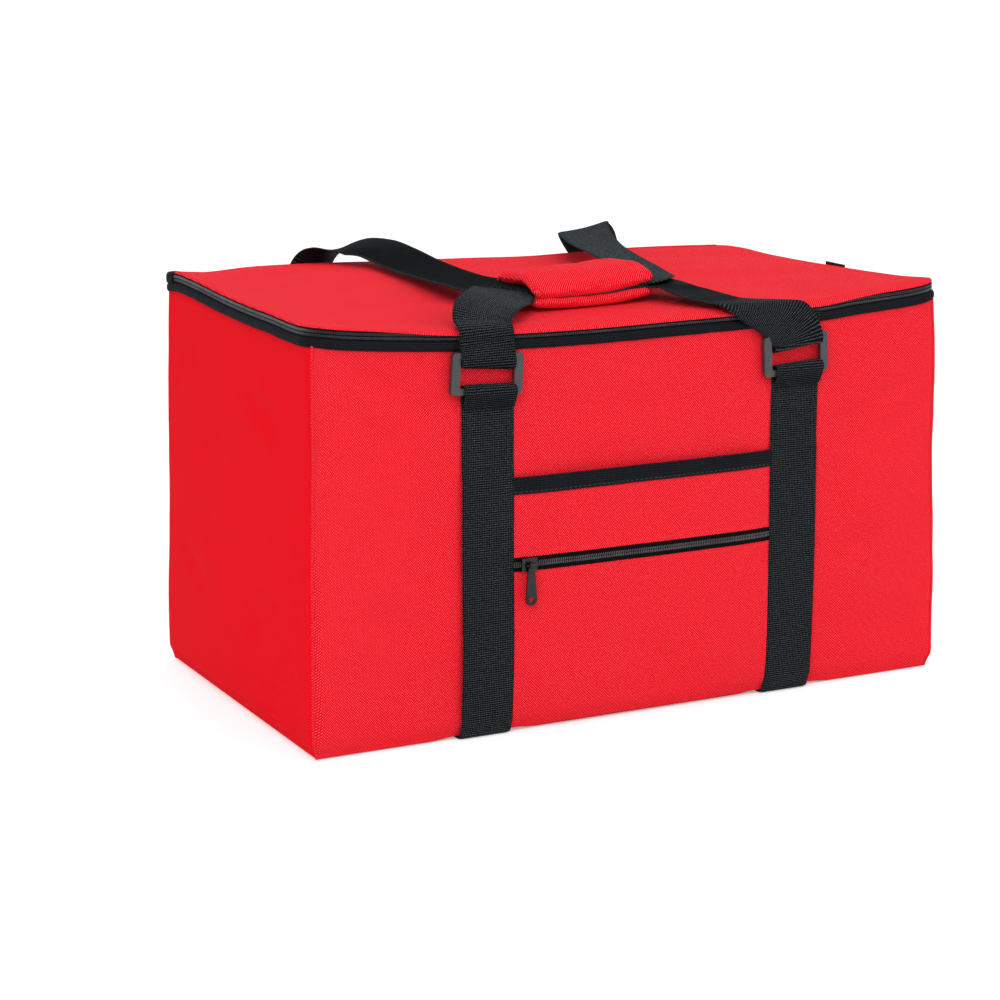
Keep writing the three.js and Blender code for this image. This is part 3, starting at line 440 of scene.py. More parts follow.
def finishTree(tree, given, out, geometry):
    real = put(tree, "GeometryNodeRealizeInstances", [geometry])
    smooth = put(tree, "GeometryNodeSetShadeSmooth", [real.outputs[0]])
    finish = put(tree, "GeometryNodeSetMaterial", {"Geometry": smooth.outputs[0], "Material": given["Material"]})
    fill(tree, out, [finish.outputs[0]])
    return tree


def carried(tree, label, kind="FLOAT"):
    return put(tree, "GeometryNodeInputNamedAttribute", {"Name": label}, data_type=kind).outputs[0]


def scaled(tree, vector, amount):
    return put(tree, "ShaderNodeVectorMath", {0: vector, "Scale": amount}, operation="SCALE").outputs[0]


# Geometry Nodes: a unit repeated along a path that carries an "out" direction on its points
def makeRowTree():
    tree, given, out = newGroup(
        "rowAlong", "GeometryNodeTree",
        {"Geometry": "Geometry", "Unit": "Object", "Spacing": 0.002, "Turn": 0.0, "Unevenness": 0.03, "Seed": 7,
         "Material": "Material"}, ["Geometry"], "Geometry")
    curve = put(tree, "GeometryNodeMeshToCurve", [given["Geometry"]])
    points = put(tree, "GeometryNodeCurveToPoints", {"Curve": curve.outputs[0], "Length": given["Spacing"]},
                 mode="LENGTH")
    facing = put(tree, "FunctionNodeAxesToRotation",
                 [points.outputs["Tangent"], carried(tree, "out", "FLOAT_VECTOR")],
                 primary_axis="X", secondary_axis="Y")
    shake = put(tree, "FunctionNodeRandomValue", {0: (-1, -1, -1), 1: (1, 1, 1), "Seed": given["Seed"]},
                data_type="FLOAT_VECTOR")
    slant = put(tree, "ShaderNodeCombineXYZ", {1: given["Turn"]})
    turned = put(tree, "ShaderNodeVectorMath",
                 [scaled(tree, shake.outputs[0], given["Unevenness"]), slant.outputs[0]], operation="ADD")
    asTurn = put(tree, "FunctionNodeEulerToRotation", [turned.outputs[0]])
    rotation = put(tree, "FunctionNodeRotateRotation", [facing.outputs[0], asTurn.outputs[0]], rotation_space="LOCAL")
    bar = put(tree, "GeometryNodeObjectInfo", {"Object": given["Unit"]}, transform_space="ORIGINAL")
    copies = put(tree, "GeometryNodeInstanceOnPoints", {
        "Points": points.outputs["Points"], "Instance": bar.outputs["Geometry"], "Rotation": rotation.outputs[0]})
    return finishTree(tree, given, out, copies.outputs[0])


# Geometry Nodes: ribs raised across a web, from its own "along", "rib" and "lift" attributes
def makeRibTree():
    tree, given, out = newGroup(
        "webRibs", "GeometryNodeTree",
        {"Geometry": "Geometry", "Pitch": 0.0021, "Height": 0.0002, "Material": "Material"}, ["Geometry"], "Geometry")
    turns = Value(tree, carried(tree, "along")) / given["Pitch"] * math.tau
    wave = turns.to("SINE") * carried(tree, "rib") * given["Height"]
    push = scaled(tree, carried(tree, "lift", "FLOAT_VECTOR"), wave)
    moved = put(tree, "GeometryNodeSetPosition", {"Geometry": given["Geometry"], "Offset": push})
    return finishTree(tree, given, out, moved.outputs[0])


rowAlong, webRibs = makeRowTree(), makeRibTree()


def runTree(carrier, tree, name, **values):
    modifier = carrier.modifiers.new("shape", "NODES")
    modifier.node_group = tree
    for socket in tree.interface.items_tree:
        if socket.in_out == "INPUT" and socket.name in values:
            modifier[socket.identifier] = values[socket.name]
    graph = bpy.context.evaluated_depsgraph_get()
    graph.update()
    mesh = bpy.data.meshes.new_from_object(carrier.evaluated_get(graph), depsgraph=graph)
    mesh.name = name
    mesh.materials.clear()
    mesh.materials.append(values["Material"])
    mesh.polygons.foreach_set("material_index", [0] * len(mesh.polygons))
    bpy.data.meshes.remove(carrier.data)    # takes its object with it
    return linked(name, mesh)


# A rounded bar with pointed-off ends: long along X for a stitch, tall along Z for a tooth
def unitBar(sizeX, sizeY, sizeZ, sides=6):
    mesh = bpy.data.meshes.new("unit")
    tall = sizeZ > sizeX
    length, width = (sizeZ, sizeX) if tall else (sizeX, sizeZ)
    vertices, faces = [], []
    for place, fullness in ((-0.5, 0.35), (-0.36, 0.92), (0.36, 0.92), (0.5, 0.35)):
        for turn in np.arange(sides) * math.tau / sides:
            a, b, c = place * length, math.cos(turn) * width / 2 * fullness, math.sin(turn) * sizeY / 2 * fullness
            vertices.append((b, c, a) if tall else (a, c, b))
    for r in range(0, len(vertices) - sides, sides):
        faces += [[r + k, r + (k + 1) % sides, r + sides + (k + 1) % sides, r + sides + k] for k in range(sides)]
    faces += [list(range(sides))[::-1], list(range(len(vertices) - sides, len(vertices)))]
    mesh.from_pydata(vertices, [], faces)
    shape = bmesh.new()
    shape.from_mesh(mesh)
    bmesh.ops.recalc_face_normals(shape, faces=shape.faces)
    shape.to_mesh(mesh)
    return linked("unit", mesh)


def row(name, points, outs, barSize, spacing, material, turn=0.0, seed=7):
    bar = unitBar(*barSize)
    mesh = bpy.data.meshes.new("path")
    mesh.from_pydata(points.tolist(), [[i, i + 1] for i in range(len(points) - 1)], [])
    carry(mesh, "out", outs)
    piece = runTree(linked("path", mesh), rowAlong, name, Unit=bar, Spacing=spacing, Turn=turn, Unevenness=0.04,
                    Seed=seed, Material=material)
    bpy.data.objects.remove(bar)
    return piece


def joined(name, pieces):
    shape = bmesh.new()
    mesh = bpy.data.meshes.new(name)
    mesh.materials.append(pieces[0].data.materials[0])
    for piece in pieces:
        shape.from_mesh(piece.data)
        bpy.data.objects.remove(piece)
    shape.to_mesh(mesh)
    return linked(name, mesh)


# Cloth surfaces of the bag

bagShape = {
    "halfWidth": 227.2 * mm,
    "halfDepth": 125.6 * mm,
    "rimRadius": 13 * mm,       # plan radius of the corners at the rim
    "wallCorners": [[0, 2.5], [0.5, 4.5], [0.88, 8], [1, 11.5]],   # that of the walls, in mm, from foot to rim
    "baseRound": 2 * mm,        # turn of the walls under the base
    "baseHeight": 0.5 * mm,
    "overStraps": 1.5 * mm,     # the base lies this much higher where the straps run under it
    "frontBulge": 1.8 * mm,
    "sideBulge": 3.4 * mm,
    "flare": 3.8 * mm,          # the walls stand a little wider low down
    "cloth": 1.0 * mm,
    "step": 3.6 * mm,
    "noise": 1.4 * mm,
    "creasing": 1.3,
    "underEdge": 9 * mm,       # the walls end this far below the lid's edge
}

# Height of the lid's edge, as [place along the side, height] in millimetres
rimLine = {
    "front": [[-227.2, 270.4], [-215, 268.6], [-205, 267.2], [-186, 265.2], [-166, 263.5], [-146, 261.9],
              [-110, 259.9], [-75, 258.9], [-30, 258.5], [20, 259.0], [70, 259.5], [110, 260.3], [141, 261.3],
              [160, 263.0], [179, 264.2], [198, 265.3], [213, 266.9], [227.2, 269.6]],
    "back": [[-227.2, 270], [-207, 267.8], [-165, 269.4], [-135, 269.4], [-60, 267.4], [0, 266.0], [51, 264.6],
             [76, 265.0], [134, 266], [160, 265.6], [194, 264.6], [213, 263.8], [227.2, 262]],
    "left": [[-125.6, 270.4], [-112, 269.6], [-95, 269.3], [-80, 269.6], [-63, 270.0], [-41, 270.0], [-20, 270.3],
             [4, 270.9], [28, 271.9], [52, 273.2], [77, 274.2], [95, 274.5], [110, 273.6], [125.6, 271]],
    "right": [[-125.6, 269.6], [-110, 268.4], [-85, 266.2], [-60, 265.0], [-30, 263.8], [0, 262.9], [30, 262.0],
              [60, 261.4], [85, 261.2], [105, 261.5], [125.6, 262]],
    "dome": 2.2,
}

# Valleys pressed into the walls, in millimetres on the side they are on: from, to, depth, width
creases = {
    "front": [(-203, 244, -173, 225, 1.6, 5), (-173, 225, -150, 208, 1.3, 5), (-201, 209, -178, 196, 1.3, 5),
              (-178, 196, -164, 188, 0.9, 4), (-224, 188, -196, 178, 1.1, 5), (153, 176, 178, 188, 1.2, 6),
              (178, 188, 206, 204, 1.5, 6), (184, 166, 218, 190, 1.2, 6), (-60, 205, 40, 199, 0.8, 9),
              (-200, 90, -150, 70, 0.7, 10), (150, 90, 210, 110, 0.8, 10), (140, 40, 215, 34, 0.6, 9)],
    "left": [(-100, 205, -60, 222, 1.4, 6), (-70, 150, -10, 170, 1.2, 9), (20, 215, 80, 196, 1.4, 7),
             (-95, 90, -30, 70, 1.1, 9), (30, 60, 90, 84, 1.0, 9)],
    "right": [(-90, 200, -50, 214, 1.2, 7), (-30, 120, 40, 135, 1.2, 9), (40, 205, 95, 190, 1.2, 7)],
    "back": [(-200, 200, -150, 220, 1.2, 7), (150, 205, 205, 186, 1.2, 7), (-60, 120, 60, 112, 1.0, 12),
             (-190, 70, -130, 60, 0.8, 9)],
}


def edgeHeight(x, y):
    a, b = bagShape["halfWidth"] / mm, bagShape["halfDepth"] / mm
    x, y = np.broadcast_arrays(np.clip(np.asarray(x, float) / mm, -a, a), np.clip(np.asarray(y, float) / mm, -b, b))
    u, v = (x / a + 1) / 2, (y / b + 1) / 2
    front, back = runThrough(rimLine["front"], x), runThrough(rimLine["back"], x)
    left, right = runThrough(rimLine["left"], y), runThrough(rimLine["right"], y)
    flat = [(1 - u) * rimLine[side][0][1] + u * rimLine[side][-1][1] for side in ("front", "back")]
    return ((1 - v) * (front - flat[0]) + v * (back - flat[1]) + (1 - u) * left + u * right) * mm


def noiseAt(points, size, seed=0.0):
    flat = np.asarray(points).reshape(-1, 3) / size + seed
    return np.array([noise.noise(Vector(p)) for p in flat.tolist()]).reshape(np.shape(points)[:-1])


def sideSizes(side):
    a, b = bagShape["halfWidth"], bagShape["halfDepth"]
    return (a, b) if side in ("front", "back") else (b, a)


# From a side's own axes, along and outward, to the bag's
def onSide(side, along, out):
    return {"front": (along, -out), "right": (out, along), "back": (-along, out), "left": (-out, -along)}[side]


# How many millimetres a place is from a valley's line, and how near the line's ends, from 0 to 1
def besideValley(x, y, x0, y0, x1, y1):
    dx, dy, px, py = x1 - x0, y1 - y0, x / mm - x0, y / mm - y0
    near = np.clip((px * dx + py * dy) / (dx * dx + dy * dy), 0, 1)
    return np.hypot(px - near * dx, py - near * dy), np.abs(2 * near - 1) ** 3


# How far the cloth stands out of the plain box, at a place along a side and a height
def swell(side, along, z):
    halfLength, halfAcross = sideSizes(side)
    share = np.clip(np.abs(along) / halfLength, 0, 1)
    t = np.clip((z - 2 * mm) / (255 * mm), 0, 1)
    amount = bagShape["frontBulge" if side in ("front", "back") else "sideBulge"]
    result = amount * (1 - share**2.4) * np.sin(math.pi * t**0.72)
    result = result + bagShape["flare"] * (1 - softStep(0.05, 0.75, t)) * softStep(0, 0.04, t)
    points = np.stack(np.broadcast_arrays(*onSide(side, along, halfAcross), z), -1)
    quiet = softStep(0, 0.06, t) * (1 - softStep(0.9, 1.0, t))
    result = result + quiet * bagShape["noise"] * (noiseAt(points, 0.075) + 0.35 * noiseAt(points, 0.028, 5.0))
    for *line, depth, width in creases[side]:
        away, toEnd = besideValley(along, z, *line)
        valley = np.exp(-(away / width) ** 2) - 0.45 * np.exp(-((away - 2 * width) / width) ** 2)
        result = result - bagShape["creasing"] * depth * mm * valley * np.clip(1.15 - toEnd, 0, 1)
    return result


# Distance of the cloth's outer face from the middle plane, for pieces that lie on a wall
def wallOut(side, along, z):
    return sideSizes(side)[1] + swell(side, along, z)


# Underside of the cloth: it droops to the floor between the straps that carry it
def baseLow(x):
    away = np.abs(np.abs(x) / mm - 112)
    return bagShape["baseHeight"] + bagShape["overStraps"] * (1 - softStep(19, 38, away))


def makeWall(side, name, node):
    halfLength, halfAcross = sideSizes(side)
    arcSteps, step, turnIn = 6, bagShape["step"], bagShape["baseRound"]
    straight = int(round(2 * halfLength / step))
    ends = np.ones(arcSteps)
    turns = np.radians(np.concatenate([np.linspace(-45, 0, arcSteps + 1), np.zeros(straight - 1),
                                       np.linspace(0, 45, arcSteps + 1)]))
    shares = np.concatenate([-ends, np.linspace(-1, 1, straight + 1), ends])
    upRows = np.linspace(0, 1, int(round(0.25 / step)) + 1)[1:]
    rows, places = [], []
    for angle, t in [(a, 0.0) for a in np.linspace(0, math.pi / 2, 6)] + [(math.pi / 2, t) for t in upRows]:
        radius = float(runThrough(bagShape["wallCorners"], t)) * mm
        along = shares * (halfLength - radius) + radius * np.sin(turns)
        x, y = onSide(side, along, (halfAcross - radius) + radius * np.cos(turns))
        base = baseLow(x)
        low = base + turnIn
        z = base + turnIn * (1 - math.cos(angle)) + (edgeHeight(x, y) - bagShape["underEdge"] - low) * t
        push = swell(side, along, np.maximum(z, low)) - turnIn * (1 - math.sin(angle))
        nx, ny = onSide(side, np.sin(turns), np.cos(turns))
        rows.append(np.stack([x + nx * push, y + ny * push, z], 1))
        places.append(np.stack([along + turns * radius * 0.3, z], 1))
    points = np.stack(rows)
    # the left and right walls take the canvas copy with fainter painted highlights
    piece = sheetPiece(name, points, np.stack(places), bagShape["cloth"],
                       canvasRedSideWeakHighlights if side in ("left", "right") else canvasRed, inwardOf(side))
    adopt(piece, "bag", "canvas", node)
    return points


def inwardOf(side):
    return -np.array([*onSide(side, 0.0, 1.0), 0.0])


wallPoints = {side: makeWall(side, side + "Wall", node) for side, node in (
    ("front", "front_panel"), ("right", "right_side_panel"), ("back", "back_panel"), ("left", "left_side_panel"))}
print("walls made")


def makeBase():
    shares = np.linspace(0, 1, 60)[:, None, None]
    points = wallPoints["front"][0] * (1 - shares) + wallPoints["back"][0][::-1] * shares
    points[:, :, 2] = baseLow(points[:, :, 0]) + 0.1 * mm
    edge = bagShape["halfWidth"] - bagShape["baseRound"] + 1.5 * mm
    points[:, :, 0] = np.clip(points[:, :, 0], -edge, edge)
    points = points[:, ::3]
    adopt(sheetPiece("baseCloth", points, points[:, :, :2], bagShape["cloth"], canvasRed, (0, 0, 1)), "bag",
          "canvas", "base_panel")


makeBase()


# Corner seams: a thin piped fold where two walls meet
weltShape = {"radius": 1.0 * mm, "out": 0.45 * mm}


def makeWelt(side, corner, name, node):
    line = wallPoints[side][2:, -1]
    out = unit(np.array([*corner, 0.0]))
    turns = np.linspace(0, math.tau, 9)[:-1, None]
    circle = np.cos(turns) * out + np.sin(turns) * np.array([-out[1], out[0], 0])
    rings = (line + out * weltShape["out"])[:, None] + weltShape["radius"] * circle
    adopt(tubePiece(name, rings, line[:, 2], canvasRed), "bag", "canvas", node)


makeWelt("front", (1, -1), "frontRightWelt", "corner_welt_front_right")
makeWelt("right", (1, 1), "backRightWelt", "corner_welt_back_right")
makeWelt("back", (-1, 1), "backLeftWelt", "corner_welt_back_left")
makeWelt("left", (-1, -1), "frontLeftWelt", "corner_welt_front_left")
print("base and corner seams made")


# A rectangle with round corners, from the middle of the back to the left, front and right
def roundedLine(a, b, r, count):
    points = [np.array([[0.0, b]])]
    for signX, signY, start in ((-1, 1, 90), (-1, -1, 180), (1, -1, 270), (1, 1, 0)):
        turn = math.radians(start) + np.linspace(0, math.pi / 2, count)
        points.append(np.stack([signX * (a - r) + r * np.cos(turn), signY * (b - r) + r * np.sin(turn)], 1))
    line = np.concatenate(points + points[:1])
    return np.column_stack([line, np.zeros(len(line))])


def rimLoop(step=2.0 * mm):
    line = roundedLine(bagShape["halfWidth"], bagShape["halfDepth"], bagShape["rimRadius"], 13)
    line, length = resample(line, step)
    tangent = unit(np.gradient(line, axis=0))
    tangent[0] = tangent[-1] = (-1, 0, 0)
    normal = np.stack([tangent[:, 1], -tangent[:, 0], np.zeros(len(line))], 1)
    line[:, 2] = edgeHeight(line[:, 0], line[:, 1])
    return line, normal, length


# Each section point is [outward, up from the lid's edge] in millimetres
def bandOnRim(name, section, material, body, node, keep=None, wrinkle=0.0):
    line, normal, length = rimLoop()
    chosen = slice(0, -1) if keep is None else np.where(keep(line))[0]
    line, normal, length = line[chosen], normal[chosen], length[chosen]
    section = np.array(section, float) * mm
    rings = line[:, None] + normal[:, None] * section[None, :, :1]
    rings[:, :, 2] += section[None, :, 1]
    if wrinkle:
        rings = rings + normal[:, None] * (noiseAt(rings * (1, 1, 0.4), 0.011, 3.0) * wrinkle)[:, :, None]
    adopt(tubePiece(name, rings, length, material, looped=keep is None), body, "zip_tape", node)


bindingShape = {
    "section": [[-2.6, -13.0], [-1.2, -13.7], [0.4, -13.8], [1.7, -13.2], [2.3, -11.9], [2.4, -10.3], [2.1, -8.8],
                [1.2, -7.8], [0.0, -7.4], [-1.2, -7.6], [-2.2, -8.2], [-2.7, -10.5]],
    "wrinkle": 0.5 * mm,
}

bandOnRim("rimBinding", bindingShape["section"], bindingBlack, "bag", "rim_binding", wrinkle=bindingShape["wrinkle"])


# Zip round the left, front and right: two tapes, each with its row of teeth
zipShape = {
    "endY": 106 * mm,
    "bodyTape": [[-1.6, -18.8], [-0.9, -18.8], [-0.4, -8.2], [-0.5, -4.6], [-1.2, -4.6], [-1.4, -8.2]],
    "lidTape": [[-1.2, -4.2], [-0.5, -4.2], [-0.7, -1.9], [-4.4, -1.9], [-4.4, -2.6], [-1.3, -2.6]],
    "toothSize": (0.5 * mm, 1.2 * mm, 2.2 * mm),
    "pitch": 1.5 * mm,
    "lidTeeth": -3.55 * mm,
    "bodyTeeth": -5.95 * mm,
    "teethOut": 0.25 * mm,
    "slant": 0.5,
}


def onZip(line):
    return line[:, 1] < zipShape["endY"]


def makeTeeth(name, up, slant, shift, body, node):
    line, normal = rimLoop()[:2]
    chosen = onZip(line)
    path = line[chosen] + normal[chosen] * zipShape["teethOut"] + (0, 0, up)
    path[0] += (path[1] - path[0]) * shift
    adopt(row(name, path, normal[chosen], zipShape["toothSize"], zipShape["pitch"], teethBlack, slant), body,
          "zip_teeth", node)


bandOnRim("bodyZipTape", zipShape["bodyTape"], tapeBlack, "bag", "body_zip_tape", onZip)
bandOnRim("lidZipTape", zipShape["lidTape"], tapeBlack, "lid", "lid_zip_tape", onZip)
makeTeeth("lidZipTeeth", zipShape["lidTeeth"], zipShape["slant"], 0, "lid", "lid_zip_coil")
makeTeeth("bodyZipTeeth", zipShape["bodyTeeth"], -zipShape["slant"], 0.5, "bag", "body_zip_coil")
print("rim and zip made")


# Lid: a soft panel whose edge turns down to the zip

lidShape = {
    "edgeRound": 1.6 * mm,
    "lip": 2.3 * mm,            # the cloth hangs over the zip this much in the middle of the front
    "lipOut": 1.1 * mm,
    "lipY": (-104 * mm, -124 * mm),    # where the hanging begins and is full
    "lipX": (125 * mm, 196 * mm),      # where it fades out towards the corners
    "edgeLines": [0, 0.12, 0.45, 0.95, 1.7, 3.2, 6.5],   # distances of the first grid lines from the edge
    "step": 4.0 * mm,
    "thickness": 0.9 * mm,
    "noise": 1.3 * mm,
    "foam": 5.6 * mm,
    "foamHalf": (218 * mm, 116 * mm),
    "foamBelow": 1.8 * mm,
    "liningBelow": (2.2 * mm, 7.0 * mm),    # at its edge, and more further in
    "liningWrinkle": 0.7 * mm,
}

# Soft valleys across the lid, in millimetres: from, to, depth, width
lidCreases = [(-190, -60, -70, -20, 1.0, 14), (-210, 60, -90, 95, 1.2, 12), (60, 20, 205, -30, 1.0, 16),
              (90, 90, 215, 70, 1.3, 13), (120, -100, 210, -50, 0.8, 12), (-60, 70, 30, 100, 1.0, 12)]


# Places on a rectangle with round corners, closer together near its edge, and each place's distance from the edge
def roundedPlan(outset, r):
    lines, halves = [], []
    for half in (bagShape["halfWidth"] + outset, bagShape["halfDepth"] + outset):
        inner = half - lidShape["edgeLines"][-1] * mm
        middle = np.linspace(-inner, inner, int(round(2 * inner / lidShape["step"])) + 1)
        edge = half - np.array(lidShape["edgeLines"][:-1]) * mm
        lines.append(np.concatenate([-edge, middle, edge[::-1]]))
        halves.append(half)
    (x, y), (a, b) = np.meshgrid(*lines), halves
    p, q = (np.abs(x) - (a - r)) / r, (np.abs(y) - (b - r)) / r
    corner = (p > 0) & (q > 0)
    p, q = np.where(corner, p, 0), np.where(corner, q, 0)
    newX, newY = p * np.sqrt(1 - q**2 / 2), q * np.sqrt(1 - p**2 / 2)
    distance = np.where(corner, r * (1 - np.hypot(newX, newY)), np.minimum(a - np.abs(x), b - np.abs(y)))
    x = np.where(corner, np.sign(x) * (a - r + r * newX), x)
    y = np.where(corner, np.sign(y) * (b - r + r * newY), y)
    return x, y, np.maximum(distance, 0)


def lidHeightAt(x, y, distance):
    a, b = bagShape["halfWidth"], bagShape["halfDepth"]
    dome = rimLine["dome"] * mm * (1 - (np.abs(x) / a) ** 2.5) * (1 - (np.abs(y) / b) ** 2.5)
    uneven = noiseAt(flatOf(x, y), 0.085, 2.0) + 0.4 * noiseAt(flatOf(x, y), 0.032, 8.0)
    soft = softStep(0, 30 * mm, distance)
    z = edgeHeight(x, y) + dome + soft * lidShape["noise"] * uneven
    for *line, depth, width in lidCreases:
        away, toEnd = besideValley(x, y, *line)
        z = z - soft * depth * mm * np.exp(-(away / width) ** 2) * np.clip(1.1 - toEnd, 0, 1)
    return z


def makeLid():
    x, y, distance = roundedPlan(0.4 * mm, bagShape["rimRadius"])
    fold = lidShape["edgeRound"]
    drop = fold - np.sqrt(np.maximum(fold**2 - np.maximum(fold - distance, 0) ** 2, 0))
    hang = softStep(*lidShape["lipY"], y) * (1 - softStep(*lidShape["lipX"], np.abs(x)))
    hang = hang * (1 - softStep(0, 7 * mm, distance))
    z = lidHeightAt(x, y, distance) - drop - hang * lidShape["lip"]
    y = y - hang * lidShape["lipOut"]
    piece = sheetPiece("lidCloth", np.stack([x, y, z], 2), np.stack([x, y], 2), lidShape["thickness"], canvasRed,
                       (0, 0, -1), sharp=70)
    adopt(piece, "lid", "canvas", "lid_panel")


def makeLidInside():
    x, y, distance = roundedPlan(-2.0 * mm, bagShape["rimRadius"] - 2 * mm)
    wrinkle = noiseAt(flatOf(x, y), 0.045, 4.0) + 0.5 * noiseAt(flatOf(x, y), 0.014, 9.0)
    wrinkle = softStep(0, 14 * mm, distance) * lidShape["liningWrinkle"] * wrinkle
    depth = lidShape["liningBelow"][0] + lidShape["liningBelow"][1] * softStep(0, 7 * mm, distance)
    z = edgeHeight(x, y) + (lidHeightAt(x, y, distance) - edgeHeight(x, y)) * 0.6 - depth + wrinkle
    piece = sheetPiece("lidLining", np.stack([x, y, z], 2), np.stack([x, y], 2), linerShape["thickness"], linerSilver,
                       (0, 0, 1), sharp=70)
    adopt(piece, "lid", "liner", "lid_liner")
    x, y = (np.linspace(-half, half, count) for half, count in zip(lidShape["foamHalf"], (60, 32)))
    x, y = np.meshgrid(x, y)
    piece = sheetPiece("lidFoamPad", np.stack([x, y, edgeHeight(x, y) - lidShape["foamBelow"]], 2),
                       np.stack([x, y], 2), lidShape["foam"], foamGrey, (0, 0, -1))
    adopt(piece, "lid", "foam", "lid_foam")


# Inside of the bag: foam sheets and the silver lining

linerShape = {
    "foamOut": 4.0 * mm,        # the foam's outer face, and the liner, lie this far inside the wall
    "foamThickness": 6.8 * mm,
    "foamLow": 14.5 * mm,
    "foamTop": 12.5 * mm,       # below the lid's edge, like the top of the liner's walls
    "top": 13 * mm,
    "wallOut": 11.9 * mm,
    "thickness": 0.4 * mm,
    "floor": 14.6 * mm,
    "floorTurn": 9 * mm,
    "radius": 12 * mm,
    "wrinkle": 0.9 * mm,
    # the turned lip at the rim, in millimetres: how far in, height from the lid's edge, radius of the corners
    "lip": [(2.2, -8.6, 18), (3.2, -8.1, 17), (5.5, -8.6, 15), (9.5, -9.6, 12), (11.4, -11.0, 11)],
}

makeLid()
makeLidInside()


def makeFoam(side, node):
    halfLength, halfAcross = sideSizes(side)
    alongs, shares = np.meshgrid(np.linspace(-1, 1, 50) * (halfLength - 12 * mm), np.linspace(0, 1, 24))
    x, y = onSide(side, alongs, np.full(alongs.shape, halfAcross - linerShape["foamOut"]))
    low, top = linerShape["foamLow"], edgeHeight(x, y) - linerShape["foamTop"]
    piece = sheetPiece(side + "FoamSheet", np.stack([x, y, low + (top - low) * shares], 2),
                       np.stack([alongs, shares * 0.25], 2), linerShape["foamThickness"], foamGrey, inwardOf(side))
    adopt(piece, "bag", "foam", node)


for side, node in (("front", "front_foam"), ("back", "back_foam"), ("left", "left_side_foam"),
                   ("right", "right_side_foam")):
    makeFoam(side, node)


def linerLoop(inset, radius, count=260):
    a, b = bagShape["halfWidth"] - inset, bagShape["halfDepth"] - inset
    line = roundedLine(a, b, max(min(radius, b, a), 0.2 * mm), 15)
    length = np.concatenate([[0], np.cumsum(np.linalg.norm(np.diff(line, axis=0), axis=1))])
    at = np.linspace(0, length[-1], count + 1)[:-1]
    return np.stack([np.interp(at, length, column) for column in line.T], 1), length[-1]


def makeLiner():
    rows, heights = [], []
    wall, floor, turn = linerShape["wallOut"], linerShape["floor"], linerShape["floorTurn"]
    for inset, drop, radius in linerShape["lip"]:
        line, length = linerLoop(inset * mm, radius * mm)
        line[:, 2] = edgeHeight(line[:, 0], line[:, 1]) + drop * mm
        rows.append(line)
        heights.append(-inset * mm)
    line, length = linerLoop(wall, linerShape["radius"])
    top = edgeHeight(line[:, 0], line[:, 1]) - linerShape["top"]
    out = unit(line)
    for t in np.linspace(0, 1, 56):
        points = np.column_stack([line[:, :2], top + (floor + turn - top) * t])
        fade = softStep(0, 0.08, t) * (1 - softStep(0.95, 1.0, t))
        push = fade * linerShape["wrinkle"] * (1.2 + noiseAt(points, 0.05, 6.0) + 0.5 * noiseAt(points, 0.018, 2.5))
        rows.append(points - out * push[:, None])
        heights.append(0.26 * t)
    for angle in np.linspace(0, math.pi / 2, 7)[1:]:
        inward = turn * (1 - math.cos(angle))
        line = linerLoop(wall + inward, linerShape["radius"] - 0.5 * inward)[0]
        line[:, 2] = floor + turn * (1 - math.sin(angle))
        rows.append(line)
        heights.append(0.26 + turn * angle)
    points = np.stack(rows)
    piece = sheetPiece("linerWalls", points, np.stack(np.meshgrid(np.linspace(0, length, len(line) + 1), heights), 2),
                       linerShape["thickness"], linerSilver, unit(points * (1, 1, 0)), ringed=True, sharp=60)
    a, b = bagShape["halfWidth"] - wall - turn * 0.6, bagShape["halfDepth"] - wall - turn * 0.6
    x, y = np.meshgrid(np.linspace(-a, a, 90), np.linspace(-b, b, 48))
    edge = np.minimum(a - np.abs(x), b - np.abs(y))
    z = floor + 0.35 * mm + softStep(0, 20 * mm, edge) * 0.5 * mm * noiseAt(flatOf(x, y), 0.05, 3.0)
    ground = sheetPiece("linerFloor", np.stack([x, y, z], 2), np.stack([x, y], 2), linerShape["thickness"],
                        linerSilver, (0, 0, -1))
    adopt(piece, "bag", "liner", "liner_tub")
    adopt(ground, "bag", "liner")


makeLiner()
for node, material in (("base_foam", foamGrey), ("base_board", boardGrey)):
    for placed in [o for o in bpy.data.objects if o.name == node or o.name.startswith(node + ".")]:
        placed.data.materials.clear()
        placed.data.materials.append(material)
print("lid and inside made")


# Hinge strip along the back, and the tabs over the ends of the zip

hingeShape = {"halfLength": 205.3 * mm, "thickness": 0.8 * mm,
              "section": [(127.9, -9.4), (128.0, -6.0), (127.7, -3.2), (127.0, -0.9), (125.4, 0.3), (122.8, 0.55),
                          (120.6, 0.5)]}


def makeHinge():
    table = np.array(hingeShape["section"])
    run = runThrough(np.column_stack([np.arange(len(table)), table]), np.linspace(0, len(table) - 1, 16)) * mm
    x, y = np.meshgrid(np.linspace(-1, 1, 120) * hingeShape["halfLength"], run[:, 0])
    piece = sheetPiece("hingeStrip", np.stack([x, y, edgeHeight(x, y) + run[:, 1:]], 2),
                       np.stack(np.meshgrid(x[0], np.linspace(0, 0.018, 16)), 2), hingeShape["thickness"], canvasRed,
                       (0, -0.4, -0.9))
    adopt(piece, None, "canvas", "lid_hinge_strip")
    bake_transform(piece)


makeHinge()

